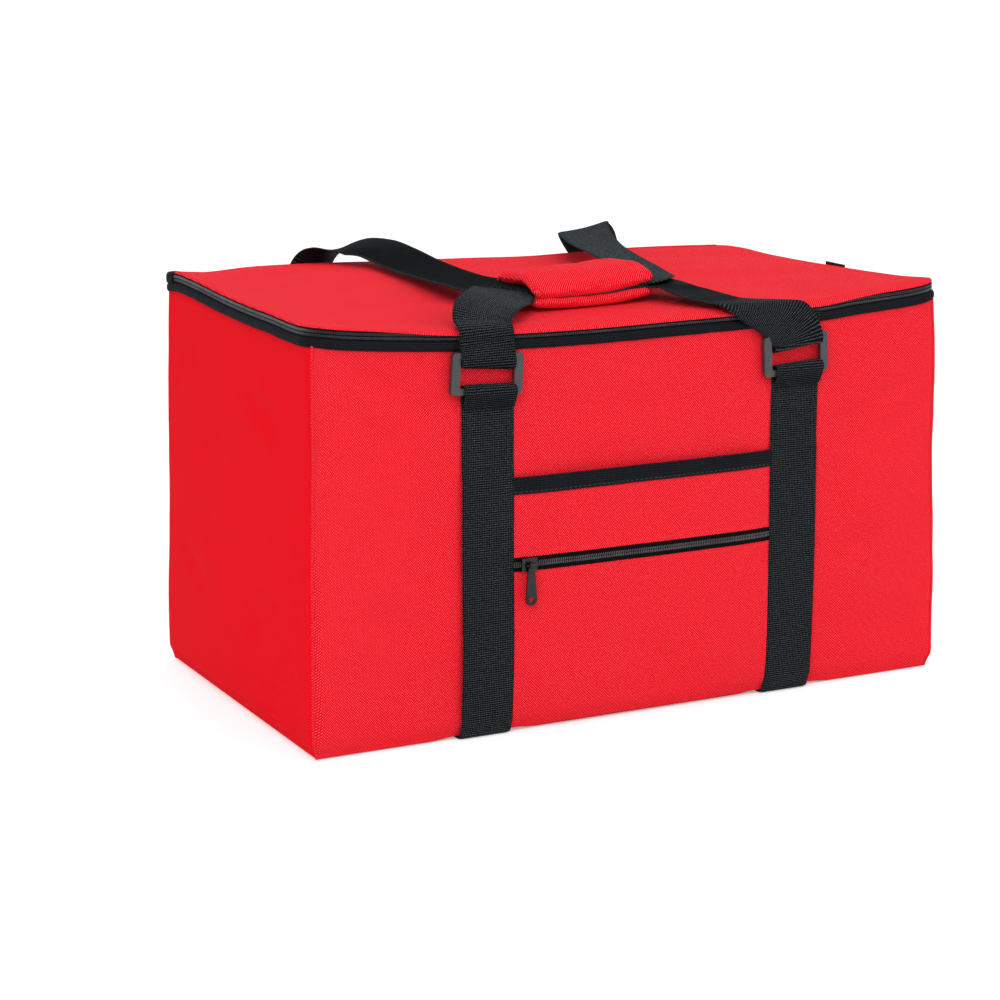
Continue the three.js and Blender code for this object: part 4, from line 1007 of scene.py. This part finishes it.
tabShape = {"section": [[-0.7, -8.2], [1.6, -8.0], [2.4, -7.0], [2.6, -4.6], [2.3, -2.0], [1.4, -0.5], [-0.6, -0.2],
                        [-2.4, -0.1], [-2.6, -1.2], [-0.7, -2.2], [-0.5, -4.6], [-0.5, -7.0]],
            "fromX": 205.5 * mm, "fromY": 103.5 * mm, "wrinkle": 0.4 * mm}
for name, sign, node in (("zipEndTabLeft", -1, "zip_end_tab_left"), ("zipEndTabRight", 1, "zip_end_tab_right")):
    bandOnRim(name, tabShape["section"], bindingBlack, "bag", node, wrinkle=tabShape["wrinkle"],
              keep=lambda line: (line[:, 0] * sign > tabShape["fromX"]) & (line[:, 1] > tabShape["fromY"]))
print("hinge and tabs made")


# Webs: ribbed ribbons through [x, y, z] stations with a width direction

webShape = {
    "width": 36 * mm,
    "handleWidth": 37 * mm,
    "thickness": 1.5 * mm,
    "section": [-0.985, -0.86, -0.58, -0.29, 0, 0.29, 0.58, 0.86, 0.985],
    "ribPitch": 1.42 * mm,
    "ribHeight": 0.13 * mm,
    "step": 0.355 * mm,
}


# The stations are in millimetres; the web's centre line, its width direction and its normal come back with it
def makeWeb(name, stations, width, bend=None):
    run, along = alongStations(np.array(stations) * (mm, mm, mm, 1, 1, 1), webShape["step"])
    centre, across = run[:, :3], run[:, 3:6]
    tangent = unit(np.gradient(centre, axis=0))
    across = unit(across - np.einsum("ij,ij->i", across, tangent)[:, None] * tangent)
    normal = np.cross(tangent, across)
    shares = webShape["section"]
    ring = [(-1, 0)] + [(s, 1) for s in shares] + [(1, 0)] + [(s, -1) for s in shares[::-1]]
    ribs = [0 if abs(s) > 0.9 or f == 0 else 1 for s, f in ring]
    rings = np.stack([centre + across * s * width / 2
                      + normal * f * (0.55 if abs(s) > 0.95 else 1) * webShape["thickness"] / 2 for s, f in ring], 1)
    if bend:
        rings = bend(rings)
    lift = unit(rings - np.roll(rings[:, ::-1], 1, axis=1))
    attributes = {"along": np.repeat(along, len(ring)), "rib": np.tile(ribs, len(along)), "lift": lift.reshape(-1, 3)}
    flat = tubePiece("flat", rings, along, webbingBlack, attributes=attributes)
    piece = runTree(flat, webRibs, name, Pitch=webShape["ribPitch"], Height=webShape["ribHeight"],
                    Material=webbingBlack)
    return piece, centre, across, normal


strapShape = {
    "right": {"top": 114.5, "foot": 110.0},      # place of the middle, in millimetres
    "left": {"top": -110.3, "foot": -112.8},
    "underX": 112,                               # the same under the bag and on its back
    "gap": 1.0,                                  # web's middle off the cloth
    "underPocket": 1.1,                          # more where the pocket's edge runs under it
    "floorZ": 0.8,
    "footRadius": 3.5,
    # the turn round each ring's lower bar: height, how far it tips, and its size
    "turns": {("front", -1): (221.7, -0.034, 3.9), ("front", 1): (218.3, 0.05, 3.5),
              ("back", -1): (217.0, 0, 3.1), ("back", 1): (217.0, 0, 3.1)},
    "below": [(129.4, 10.5), (130.6, 8), (132.3, 4.6)],   # how far out, and below that turn
    "footIn": 2.5,
    "flatY": (105, 75, 40),                      # stations under the base
    "barOut": 129.8,
    "barRadius": 3.1,
}


def strapX(side, z):
    shape = strapShape["left" if side < 0 else "right"]
    return shape["foot"] + (shape["top"] - shape["foot"]) * np.clip(z / 230, 0, 1)


def strapStations(side, wall):
    sign = -1 if wall == "front" else 1
    barZ, tip, size = strapShape["turns"][wall, side]
    barRadius, footRadius = strapShape["barRadius"], strapShape["footRadius"]

    def station(out, z, lean=0):
        return [strapX(side, z) if sign < 0 else side * strapShape["underX"], sign * out, z, 1, 0, lean]

    def clothOut(x, z):
        return float(wallOut(wall, np.array(x * mm), np.array(z * mm))) / mm

    rows = [station(out, barZ - below, tip) for out, below in strapShape["below"]]
    for turn in np.radians((180, 135, 90, 45, 0)):
        rise = barRadius * math.sin(turn) + (size - barRadius) * math.sin(turn) ** 2
        rows.append(station(strapShape["barOut"] - size * math.cos(turn), barZ + rise, tip))
    for z in np.arange(210.0, 10, -6):
        cloth = clothOut(strapX(side, z) if sign < 0 else -side * strapShape["underX"], z)
        more = strapShape["underPocket"] * float(1 - softStep(160, 176, z)) if sign < 0 else 0
        rows.append(station(max(cloth + strapShape["gap"] + more, bagShape["halfDepth"] / mm), z))
    centreY = clothOut(strapX(side, 8), 8) - strapShape["footIn"]
    for turn in np.radians((0, 30, 60, 90)):
        rows.append(station(centreY + footRadius * math.cos(turn),
                            strapShape["floorZ"] + footRadius * (1 - math.sin(turn))))
    return rows + [station(y, strapShape["floorZ"]) for y in strapShape["flatY"]]


# Where the straps are sewn down: inset from their edges, from and to this height, and flat on the wall
sewnShape = {"width": 35 * mm, "inset": 4.2 * mm, "low": 18 * mm, "high": 205 * mm, "flat": 130.5 * mm,
             "out": 1.0 * mm}
strapRows = []


def makeStrap(side, name, node):
    stations = strapStations(side, "front") + strapStations(side, "back")[::-1]
    piece, centre, across, normal = makeWeb(name, stations, webShape["width"])
    adopt(piece, "bag", "webbing", node)
    for face in (-1, 1):
        chosen = (centre[:, 2] > sewnShape["low"]) & (centre[:, 2] < sewnShape["high"]) & (centre[:, 1] * face > 0)
        outs = normal[chosen] * np.sign(normal[chosen][:, 1:2] * face)
        for edge in (-1, 1):
            points = centre[chosen] + across[chosen] * edge * (sewnShape["width"] / 2 - sewnShape["inset"])
            points = points + outs * sewnShape["out"]
            keep = points[:, 1] * face < sewnShape["flat"]
            strapRows.append((points[keep], outs[keep]))


makeStrap(-1, "strapLeft", "strap_left")
makeStrap(1, "strapRight", "strap_right")
print("straps made")


# Rings between the straps and the handles, with rounded edges

def copyOf(node, name, material, bevel, segments=3, lift=0.0, tip=0.0):
    source = bpy.data.objects[node]
    shape = bmesh.new()
    shape.from_mesh(source.data)
    bmesh.ops.remove_doubles(shape, verts=shape.verts, dist=0.01 * mm)
    shape.transform(source.matrix_world)
    middle = Vector(np.mean([tuple(v.co) for v in shape.verts], axis=0))
    shape.transform(Matrix.Translation(middle + Vector((0, 0, lift))) @ Matrix.Rotation(tip, 4, "Y")
                    @ Matrix.Translation(-middle))
    mesh = bpy.data.meshes.new(name)
    shape.to_mesh(mesh)
    mesh.materials.append(material)
    mesh.polygons.foreach_set("use_smooth", [True] * len(mesh.polygons))
    piece = linked(name, mesh)
    modifier = piece.modifiers.new("edges", "BEVEL")
    modifier.width, modifier.segments, modifier.limit_method = bevel, segments, "ANGLE"
    modifier.angle_limit = math.radians(35)
    return piece


# How much higher than its node each ring is shown, and how far it tips
for node, name, body, lift, tip in (("front_left_loop", "frontLeftRing", "front_loops", 4.6 * mm, 0.065),
                                    ("front_right_loop", "frontRightRing", "front_loops", 0, -0.04),
                                    ("back_left_loop", "backLeftRing", "back_loops", 0, 0),
                                    ("back_right_loop", "backRightRing", "back_loops", 0, 0)):
    adopt(copyOf(node, name, ringPlastic, 0.9 * mm, lift=lift, tip=tip), body, "ring_plastic", node)
print("rings made")


# Handles: each is one web from ring to ring through the grip.
# A station is [x, y, z, and the direction of the width], in millimetres.

# From the leg's top to the grip on the left, and from the grip to the leg's top on the right
handleRoutes = {
    "frontLeft": [[-111.6, -123, 263.6, -1, 0.05, 0.03], [-107.5, -115.5, 268.4, -0.94, 0.28, 0.15],
                  [-98.5, -106.5, 272.2, -0.8, 0.52, 0.24], [-86, -93, 273.2, -0.52, 0.8, 0.26],
                  [-72, -76, 271.6, -0.2, 0.96, 0.14]],
    "frontRight": [[49, -72, 270.2, 0.36, 0.92, 0.05], [56, -89, 267.0, 0.86, 0.5, 0],
                   [64, -103, 264.4, 0.85, 0.53, 0], [71.5, -115, 262.7, 0.7, 0.7, 0],
                   [80, -122, 262.2, 0.6, 0.8, 0]],
    "backLeft": [[-117, 131, 258, 1, 0, 0], [-117.5, 130.5, 265, 0.98, 0.12, -0.12],
                 [-112, 128.5, 273, 0.88, 0.4, -0.25], [-102, 122.5, 278.6, 0.6, 0.78, -0.1],
                 [-91.5, 113, 281.6, 0.4, 0.9, 0.12], [-83.5, 98, 281.8, 0.7, 0.68, 0.2],
                 [-80, 78, 279.4, 0.95, 0.28, 0.18], [-78, 47, 276.2, 0.98, 0.1, 0.12],
                 [-76, 8, 274.4, 0.99, 0.05, 0.06], [-74, -24, 273.8, 0.92, 0.38, 0.06],
                 [-68, -46, 272.8, 0.58, 0.8, 0.16], [-59.5, -59, 271.4, 0.14, 0.93, 0.33]],
    "backRight": [[45, -52, 274.4, -0.3, 0.94, 0.1], [53, -22, 275.8, -0.85, 0.5, 0.12],
                  [59, 15, 278.0, -0.97, 0.2, 0.1], [67, 58, 280.6, -0.99, 0.12, 0.02],
                  [78, 93, 283.6, -0.98, 0.05, -0.1], [86, 111, 284.2, -0.98, 0, -0.15],
                  [96, 123.5, 277.5, -0.99, 0, -0.08], [105, 129.3, 269, -1, 0, 0], [109, 131, 261, -1, 0, 0]],
    "grip": {-1: [-54, -45, -14, 20, 34], 1: [-47, -36, -14, 20, 34]},
    "gripY": -61,
    "gripZ": {-1: 270.6, 1: 273.0},
}

# The turn round each ring's upper bar: place of the web's middle, height and tip of the turn, and then places
# above it as [x, height, out, tip]. The first number of a key is the side of the bag: -1 for the front.
legTurns = {
    (-1, -1): (-111.5, 239.6, 0.09, [[-111.5, 244.8, 132.2, 0.09], [-111.6, 249.8, 131.1, 0.07],
                                     [-111.8, 254.4, 130.6, 0.05]]),
    (-1, 1): (113.0, 235.6, 0.14, [[111.8, 240.6, 132.2, 0.3], [107.8, 247, 131.1, 0.5],
                                   [101.5, 253.8, 130.6, 0.62]]),
    (1, -1): (-112.0, 239.0, 0.0, [[-112, 244.2, 132.2, 0], [-113, 249, 131.2, 0]]),
    (1, 1): (112.0, 239.0, 0.0, [[112, 244.2, 132.2, 0], [111.4, 249, 131.2, 0]]),
}


def legStations(face, side, direction):
    # the tail inside, round the upper bar, and up outside to the rim
    x, turnZ, tip, above = legTurns[face, side]
    rows = [[x, face * 129.1, 254.5, 0], [x, face * 128.6, 250.5, 0], [x, face * 127.4, turnZ + 5.5, 0.5 * tip]]
    for turn in np.radians((360, 315, 270, 225, 180)):
        out = strapShape["barOut"] - strapShape["barRadius"] * math.cos(turn)
        rows.append([x, face * out, turnZ + strapShape["barRadius"] * math.sin(turn), tip])
    rows += [[place, face * out, z, lean] for place, z, out, lean in above]
    return [row[:3] + [direction, 0, row[3]] for row in rows]


# The front handle is laid out flat, as if the lid went straight up from the front, and is then bent over the rim
rimBend = {"out": 130.6, "low": 256.0, "radius": 6.0}


def laidFlat(station):
    x, y, z, acrossX, acrossY, acrossZ = station
    out, low, radius = rimBend["out"], rimBend["low"], rimBend["radius"]
    if z < low:
        return station
    return [x, -out - (z - low - radius), low + radius * math.pi / 2 + y + out - radius, acrossX, -acrossZ, acrossY]


def overRim(points):
    x, y, z = np.moveaxis(points / mm, -1, 0)
    out, low, radius = rimBend["out"], rimBend["low"], rimBend["radius"]
    away, past = radius - (y + out), z - low
    turn = np.clip(past / radius, 0, math.pi / 2)
    rest = np.maximum(past - radius * math.pi / 2, 0)
    newY = np.where(past > 0, radius - out - away * np.cos(turn) + rest, y)
    newZ = np.where(past > 0, low + away * np.sin(turn), z)
    return np.stack([x, newY, newZ], -1) * mm


def makeHandle(face, side, name, nodes):
    grip = [[x, handleRoutes["gripY"], handleRoutes["gripZ"][face], 0, 1, 0] for x in handleRoutes["grip"][face]]
    stations = legStations(face, -1, face) + handleRoutes[side + "Left"] + grip + handleRoutes[side + "Right"]
    stations += legStations(face, 1, -face)[::-1]
    if face < 0:
        stations = [laidFlat(station) for station in stations]
    piece = makeWeb(name, stations, webShape["handleWidth"], overRim if face < 0 else None)[0]
    adopt(piece, None, "webbing", *nodes)
    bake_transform(piece)


makeHandle(-1, "front", "frontHandleWeb", ("front_left_leg", "front_right_leg", "front_handle_web"))
makeHandle(1, "back", "backHandleWeb", ("back_left_leg", "back_right_leg", "back_handle_web"))
print("handles made")


# Grip: two soft padded leaves on a spine, closed by hook and loop strips

gripShape = {
    "centre": (-12.5, -61.0),
    "size": (94.0, 48.5),
    "yaw": 6.0,             # degrees
    "rightLift": 1.6,       # the right end rides up
    "lower": {"bottom": 263.2, "thickness": 6.4},
    "upper": {"bottom": 274.2, "thickness": 8.2},
    "lowerDrop": 0.4,          # the lower leaf's front edge comes down this much
    "frontDrop": (6.6, 3.6),   # the upper leaf's front edge comes down this much, at its left and right ends
    "corner": (0.82, 0.7),     # where the round corners begin, as a share of half the length and half the width
    "strips": {"hook": 269.6, "loop": 270.8},
    "stripThickness": 1.1 * mm,
    "spineLow": 265.8,
    "spineTop": 278.6,
    "spineOut": (0.4, 2.6),    # how far the spine stands out at its edges, and more in its middle
    "spineThickness": 0.9 * mm,
    "swell": 1.6 * mm,      # most that the filling pushes the cloth out
    "fill": 0.6,
}

padShape = {"frames": 20, "quality": 6, "mass": 0.1, "stiffness": 12, "bending": 0.3, "pressure": 4}


# u and v run from -1 to 1 over a leaf
def gripPlace(u, v):
    yaw = math.radians(gripShape["yaw"])
    x, y = u * gripShape["size"][0] / 2, v * gripShape["size"][1] / 2
    return (gripShape["centre"][0] + x * math.cos(yaw) - y * math.sin(yaw),
            gripShape["centre"][1] + x * math.sin(yaw) + y * math.cos(yaw))


def gripLift(u):
    return gripShape["rightLift"] * softStep(0.1, 1.0, u)


def pointsOf(mesh):
    return np.array([tuple(v.co) for v in mesh.vertices])


# The filling pushes the sewn cloth out: a short cloth simulation with pressure, its result kept in the mesh
def fillPad(piece, cap):
    before = pointsOf(piece.data)
    filled = piece.modifiers.new("fill", "CLOTH")
    settings = filled.settings
    settings.quality, settings.mass = padShape["quality"], padShape["mass"]
    settings.tension_stiffness = settings.compression_stiffness = padShape["stiffness"]
    settings.bending_stiffness = padShape["bending"]
    settings.use_pressure, settings.uniform_pressure_force = True, padShape["pressure"]
    settings.effector_weights.gravity = 0
    filled.collision_settings.use_self_collision = False
    filled.point_cache.frame_start, filled.point_cache.frame_end = 1, padShape["frames"]
    for frameNumber in range(1, padShape["frames"] + 1):
        scene.frame_set(frameNumber)
    move = pointsOf(piece.evaluated_get(bpy.context.evaluated_depsgraph_get()).data) - before
    piece.modifiers.remove(filled)
    scene.frame_set(1)
    far = np.linalg.norm(move, axis=1, keepdims=True)
    move = move * np.minimum(1, cap / np.maximum(far, 1e-9))
    piece.data.vertices.foreach_set("co", (before + move).ravel())
    piece.data.update()
    print("filled", piece.name, "moved up to", round(float(far.max()) / mm, 2), "mm before the cap")


def makeLeaf(name, node, body, leaf, upper):
    u, v = np.meshgrid(np.linspace(-1, 1, 49), np.linspace(-1, 1, 27))
    fromU, fromV = gripShape["corner"]
    p, q = np.maximum(np.abs(u) - fromU, 0) / (1 - fromU), np.maximum(np.abs(v) - fromV, 0) / (1 - fromV)
    corner = (p > 0) & (q > 0)
    x, y = gripPlace(np.sign(u) * np.where(corner, fromU + (1 - fromU) * p * np.sqrt(1 - 0.5 * q**2), np.abs(u)),
                     np.sign(v) * np.where(corner, fromV + (1 - fromV) * q * np.sqrt(1 - 0.5 * p**2), np.abs(v)))
    edge = np.minimum(1 - np.abs(u), (1 - np.abs(v)) * 0.55)
    full = (1 - (1 - np.clip(edge / 0.16, 0, 1)) ** 2.6) ** 0.5
    if upper:
        leftDrop, rightDrop = gripShape["frontDrop"]
        drop = (leftDrop + (rightDrop - leftDrop) * (u + 1) / 2) * softStep(-0.1, -1.0, v) ** 1.2
    else:
        drop = gripShape["lowerDrop"] * softStep(-0.2, -1.0, v)
    middle = leaf["bottom"] + leaf["thickness"] / 2 + gripLift(u) - drop
    flat = flatOf(x, y) * mm
    half = leaf["thickness"] / 2 * full + 0.25
    wrinkle = full * (0.55 * noiseAt(flat, 0.028, 4.0 + upper) + 0.3 * noiseAt(flat, 0.011, 7.0))
    top, low = (np.stack([x, y, z], 2) * mm for z in (middle + half + wrinkle, middle - half))
    piece = shellPiece(name, top, low, flat[:, :, :2], canvasRed, sharp=180)
    fillPad(piece, gripShape["swell"])
    modifier = piece.modifiers.new("soft", "SUBSURF")
    modifier.levels = modifier.render_levels = 1
    adopt(piece, body, "canvas", node)


makeLeaf("gripLowerLeaf", "grip_lower_leaf", "front_handle", gripShape["lower"], False)
makeLeaf("gripUpperLeaf", "grip_upper_leaf", "grip_flap", gripShape["upper"], True)


def makeGripStrip(name, node, body, z):
    u, v = np.meshgrid(np.linspace(-0.9, 0.9, 40), np.linspace(-0.86, -0.6, 6))
    points = np.stack([*gripPlace(u, v), z + gripLift(u) * 0.9], 2) * mm
    piece = sheetPiece(name, points, points[:, :, :2], gripShape["stripThickness"], hookBlack, (0, 0, -1))
    adopt(piece, body, "hook_tape", node)


makeGripStrip("gripHookStrip", "grip_hook_strip", "front_handle", gripShape["strips"]["hook"])
makeGripStrip("gripLoopStrip", "grip_loop_strip", "grip_flap", gripShape["strips"]["loop"])


def makeSpine():
    u, t = np.meshgrid(np.linspace(-0.94, 0.94, 40), np.linspace(0, 1, 14))
    x, y = gripPlace(u, 1.0)
    out = gripShape["spineOut"][0] + gripShape["spineOut"][1] * np.sin(math.pi * t)
    z = gripShape["spineLow"] + t * (gripShape["spineTop"] - gripShape["spineLow"]) + gripLift(u)
    piece = sheetPiece("gripSpine", np.stack([x, y + out, z], 2) * mm, np.stack([u * 0.048, t * 0.014], 2),
                       gripShape["spineThickness"], canvasRed, (0, -1, 0))
    adopt(piece, None, "canvas", "grip_spine")
    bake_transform(piece)


makeSpine()
print("grip made")


# Pocket between the straps, in millimetres

pocketShape = {
    "half": 96.0,
    "liningHalf": 95.0,
    "edge": 1.0,       # how far the cloth stands off the wall at its sides
    "middle": 3.3,     # and more in the middle
    "foot": 4.5,
    "topZ": 165.5,
    "bandLow": 154.8,
    "cloth": 0.7,
    "thin": 0.5,       # the lining and the zip's tapes
    "band": 2.2,
    "lining": 1.7,     # the lining lies this far behind the cloth
    "noise": 0.55,
    "step": 3.0,
    "fold": 2.2,
    "toothSize": (0.7 * mm, 1.2 * mm, 1.9 * mm),
    "pitch": 1.3 * mm,
}


def pocketLift(x, z):
    side = 1 - np.clip(np.abs(x) / (pocketShape["half"] + 1.5), 0, 1) ** 7
    low = softStep(3, 34, z)
    return pocketShape["edge"] + pocketShape["middle"] * side * (0.3 + 0.7 * low)


# Distance of the pocket's cloth from the middle plane, in metres
def pocketOut(x, z, lift, half=pocketShape["half"]):
    soft = pocketShape["noise"] * noiseAt(flatOf(x, z) * mm, 0.05, 11.0) * np.clip(1 - (np.abs(x) / half) ** 6, 0, 1)
    return wallOut("front", x * mm, z * mm) + np.maximum(pocketLift(x, z) + lift + soft, 0.25) * mm


def pocketSheet(name, node, low, high, material, slot, thickness=pocketShape["cloth"], lift=0.0, roll=0.0,
                half=pocketShape["half"]):
    step = pocketShape["step"]
    x, z = np.meshgrid(np.linspace(-half, half, int(2 * half / step) + 1),
                       np.linspace(low, high, max(3, int((high - low) / step) + 1)))
    # at a turned edge the cloth swells a little where it is folded under
    ridge = np.exp(-((z - (high if roll > 0 else low)) / pocketShape["fold"]) ** 2) * abs(roll)
    points = np.stack([x * mm, -pocketOut(x, z, lift, half) - ridge * mm, z * mm], 2)
    piece = sheetPiece(name, points, points[:, :, ::2], thickness * mm, material, (0, 1, 0))
    adopt(piece, "bag", slot, node)


pocketSheet("pocketLining", "pocket_lining", pocketShape["foot"], pocketShape["topZ"] - 5, canvasRed, "canvas",
            pocketShape["thin"], -pocketShape["lining"], half=pocketShape["liningHalf"])
pocketSheet("pocketLowerPanel", "pocket_lower_panel", 2.6, 105.3, canvasRed, "canvas", roll=0.7)
pocketSheet("pocketUpperPanel", "pocket_upper_panel", 114.7, 157.0, canvasRed, "canvas", roll=-0.5)
pocketSheet("pocketBand", "pocket_binding", pocketShape["bandLow"], pocketShape["topZ"], bindingBlack, "zip_tape",
            pocketShape["band"], 0.7)
pocketSheet("pocketZipTapeLow", "pocket_zip_lower", 104.4, 109.7, tapeBlack, "zip_tape", pocketShape["thin"], -0.1)
pocketSheet("pocketZipTapeHigh", "pocket_zip_upper", 110.3, 115.6, tapeBlack, "zip_tape", pocketShape["thin"], -0.1)


# A line across the pocket for teeth or stitches, and its outward directions
def pocketLine(height, lift, half):
    x, z = np.linspace(-half, half, 140), np.full(140, height)
    return np.stack([x * mm, -pocketOut(x, z, lift), z * mm], 1), np.tile((0.0, -1.0, 0.0), (140, 1))


pocketTeeth = [row("teeth", *pocketLine(z, 0.35, 93.5), pocketShape["toothSize"], pocketShape["pitch"], teethBlack,
                   turn) for z, turn in ((109.05, -0.3), (110.95, 0.3))]
adopt(joined("pocketZipTeeth", pocketTeeth), "bag", "zip_teeth")
print("pocket made")


# Sliders and pulls; the lid's lie lower than their nodes, because the lid's right edge sags

sliderShape = {"edge": 0.25 * mm, "lower": 2.5 * mm}
for which, short, lower in (("pocket_zip", "pocket", 0), ("lid_zip_front", "lidFront", sliderShape["lower"]),
                            ("lid_zip_rear", "lidRear", sliderShape["lower"])):
    for part in ("slider", "pull"):
        node, body = f"{which}_{part}", f"{which.replace('_zip', '')}_{part}"
        adopt(copyOf(node, short + part.title(), sliderMetal, sliderShape["edge"], 2, lift=-lower), body,
              "slider_metal", node)


# Stitches

stitchShape = {"size": (2.5 * mm, 0.5 * mm, 0.55 * mm), "spacing": 3.4 * mm}


def sew(name, lines, material, slot):
    pieces = [row("stitches", points, outs, stitchShape["size"], stitchShape["spacing"], material, seed=11 + k)
              for k, (points, outs) in enumerate(lines) if len(points) > 2]
    adopt(joined(name, pieces), "bag", slot)


sew("strapStitches", strapRows, threadBlack, "webbing")
pocketRows = [pocketLine(z, lift, 92.5) for z, lift in ((103.2, 0.15), (117.2, 0.1), (156.4, 0.8))]
sew("pocketStitchesRed", pocketRows[:2], threadRed, "canvas")
sew("pocketStitchesBlack", pocketRows[2:], threadBlack, "zip_tape")
print("sliders and stitches made")


# Studio: plain pale floor, white surroundings, soft light

studioShape = {
    "world": 0.7,
    "floor": srgb(246, 246, 247),
    "floorSize": 5,
    "floorGlow": 0.33,
    "aim": (0, 0, 0.12),
    # place, power and size
    "lamps": {"key": ((-1.6, -2.2, 2.6), 55.0, 2.4), "fill": ((2.2, -1.8, 1.7), 24.0, 2.4),
              "top": ((0.3, 0.7, 2.7), 9.0, 2.0)},
}


def makeWorld(shape):
    scene.world = bpy.data.worlds.new("studio")
    scene.world.use_nodes = True
    tree = scene.world.node_tree
    tree.nodes.clear()
    ray = put(tree, "ShaderNodeLightPath").outputs
    seen = Value(tree, ray["Is Camera Ray"]).to("MAXIMUM", ray["Is Glossy Ray"])
    seen = seen.to("MAXIMUM", ray["Is Transmission Ray"])
    ambient = put(tree, "ShaderNodeBackground", {"Color": (1, 1, 1, 1), "Strength": shape["world"]})
    white = put(tree, "ShaderNodeBackground", {"Color": (1, 1, 1, 1), "Strength": 1.0})
    both = put(tree, "ShaderNodeMixShader", [seen, ambient.outputs[0], white.outputs[0]])
    put(tree, "ShaderNodeOutputWorld", [both.outputs[0]])


def makeFloor(shape):
    half = shape["floorSize"]
    mesh = bpy.data.meshes.new("floor")
    mesh.from_pydata([(-half, -half, 0), (half, -half, 0), (half, half, 0), (-half, half, 0)], [], [[0, 1, 2, 3]])
    material, tree, shader = startMaterial("paleFloor")
    fill(tree, shader, {"Base Color": shape["floor"], "Roughness": 0.9, "Specular IOR Level": 0.1})
    ray = put(tree, "ShaderNodeLightPath").outputs
    seen = Value(tree, ray["Is Camera Ray"]).to("MAXIMUM", ray["Is Glossy Ray"])
    glow = put(tree, "ShaderNodeEmission", {"Color": (1, 1, 1, 1), "Strength": seen * shape["floorGlow"]})
    added = put(tree, "ShaderNodeAddShader", [shader.outputs[0], glow.outputs[0]])
    fill(tree, tree.nodes["Material Output"], {"Surface": added.outputs[0]})
    mesh.materials.append(material)
    linked("floor", mesh)


def makeLamp(name, place, power, size):
    data = bpy.data.lights.new(name, "AREA")
    data.energy, data.size = power, size
    facing = (Vector(studioShape["aim"]) - Vector(place)).to_track_quat("-Z", "Y")
    linked(name, data).matrix_world = Matrix.Translation(place) @ facing.to_matrix().to_4x4()


makeWorld(studioShape)
makeFloor(studioShape)
for name, lamp in studioShape["lamps"].items():
    makeLamp(name, *lamp)
print("studio made")
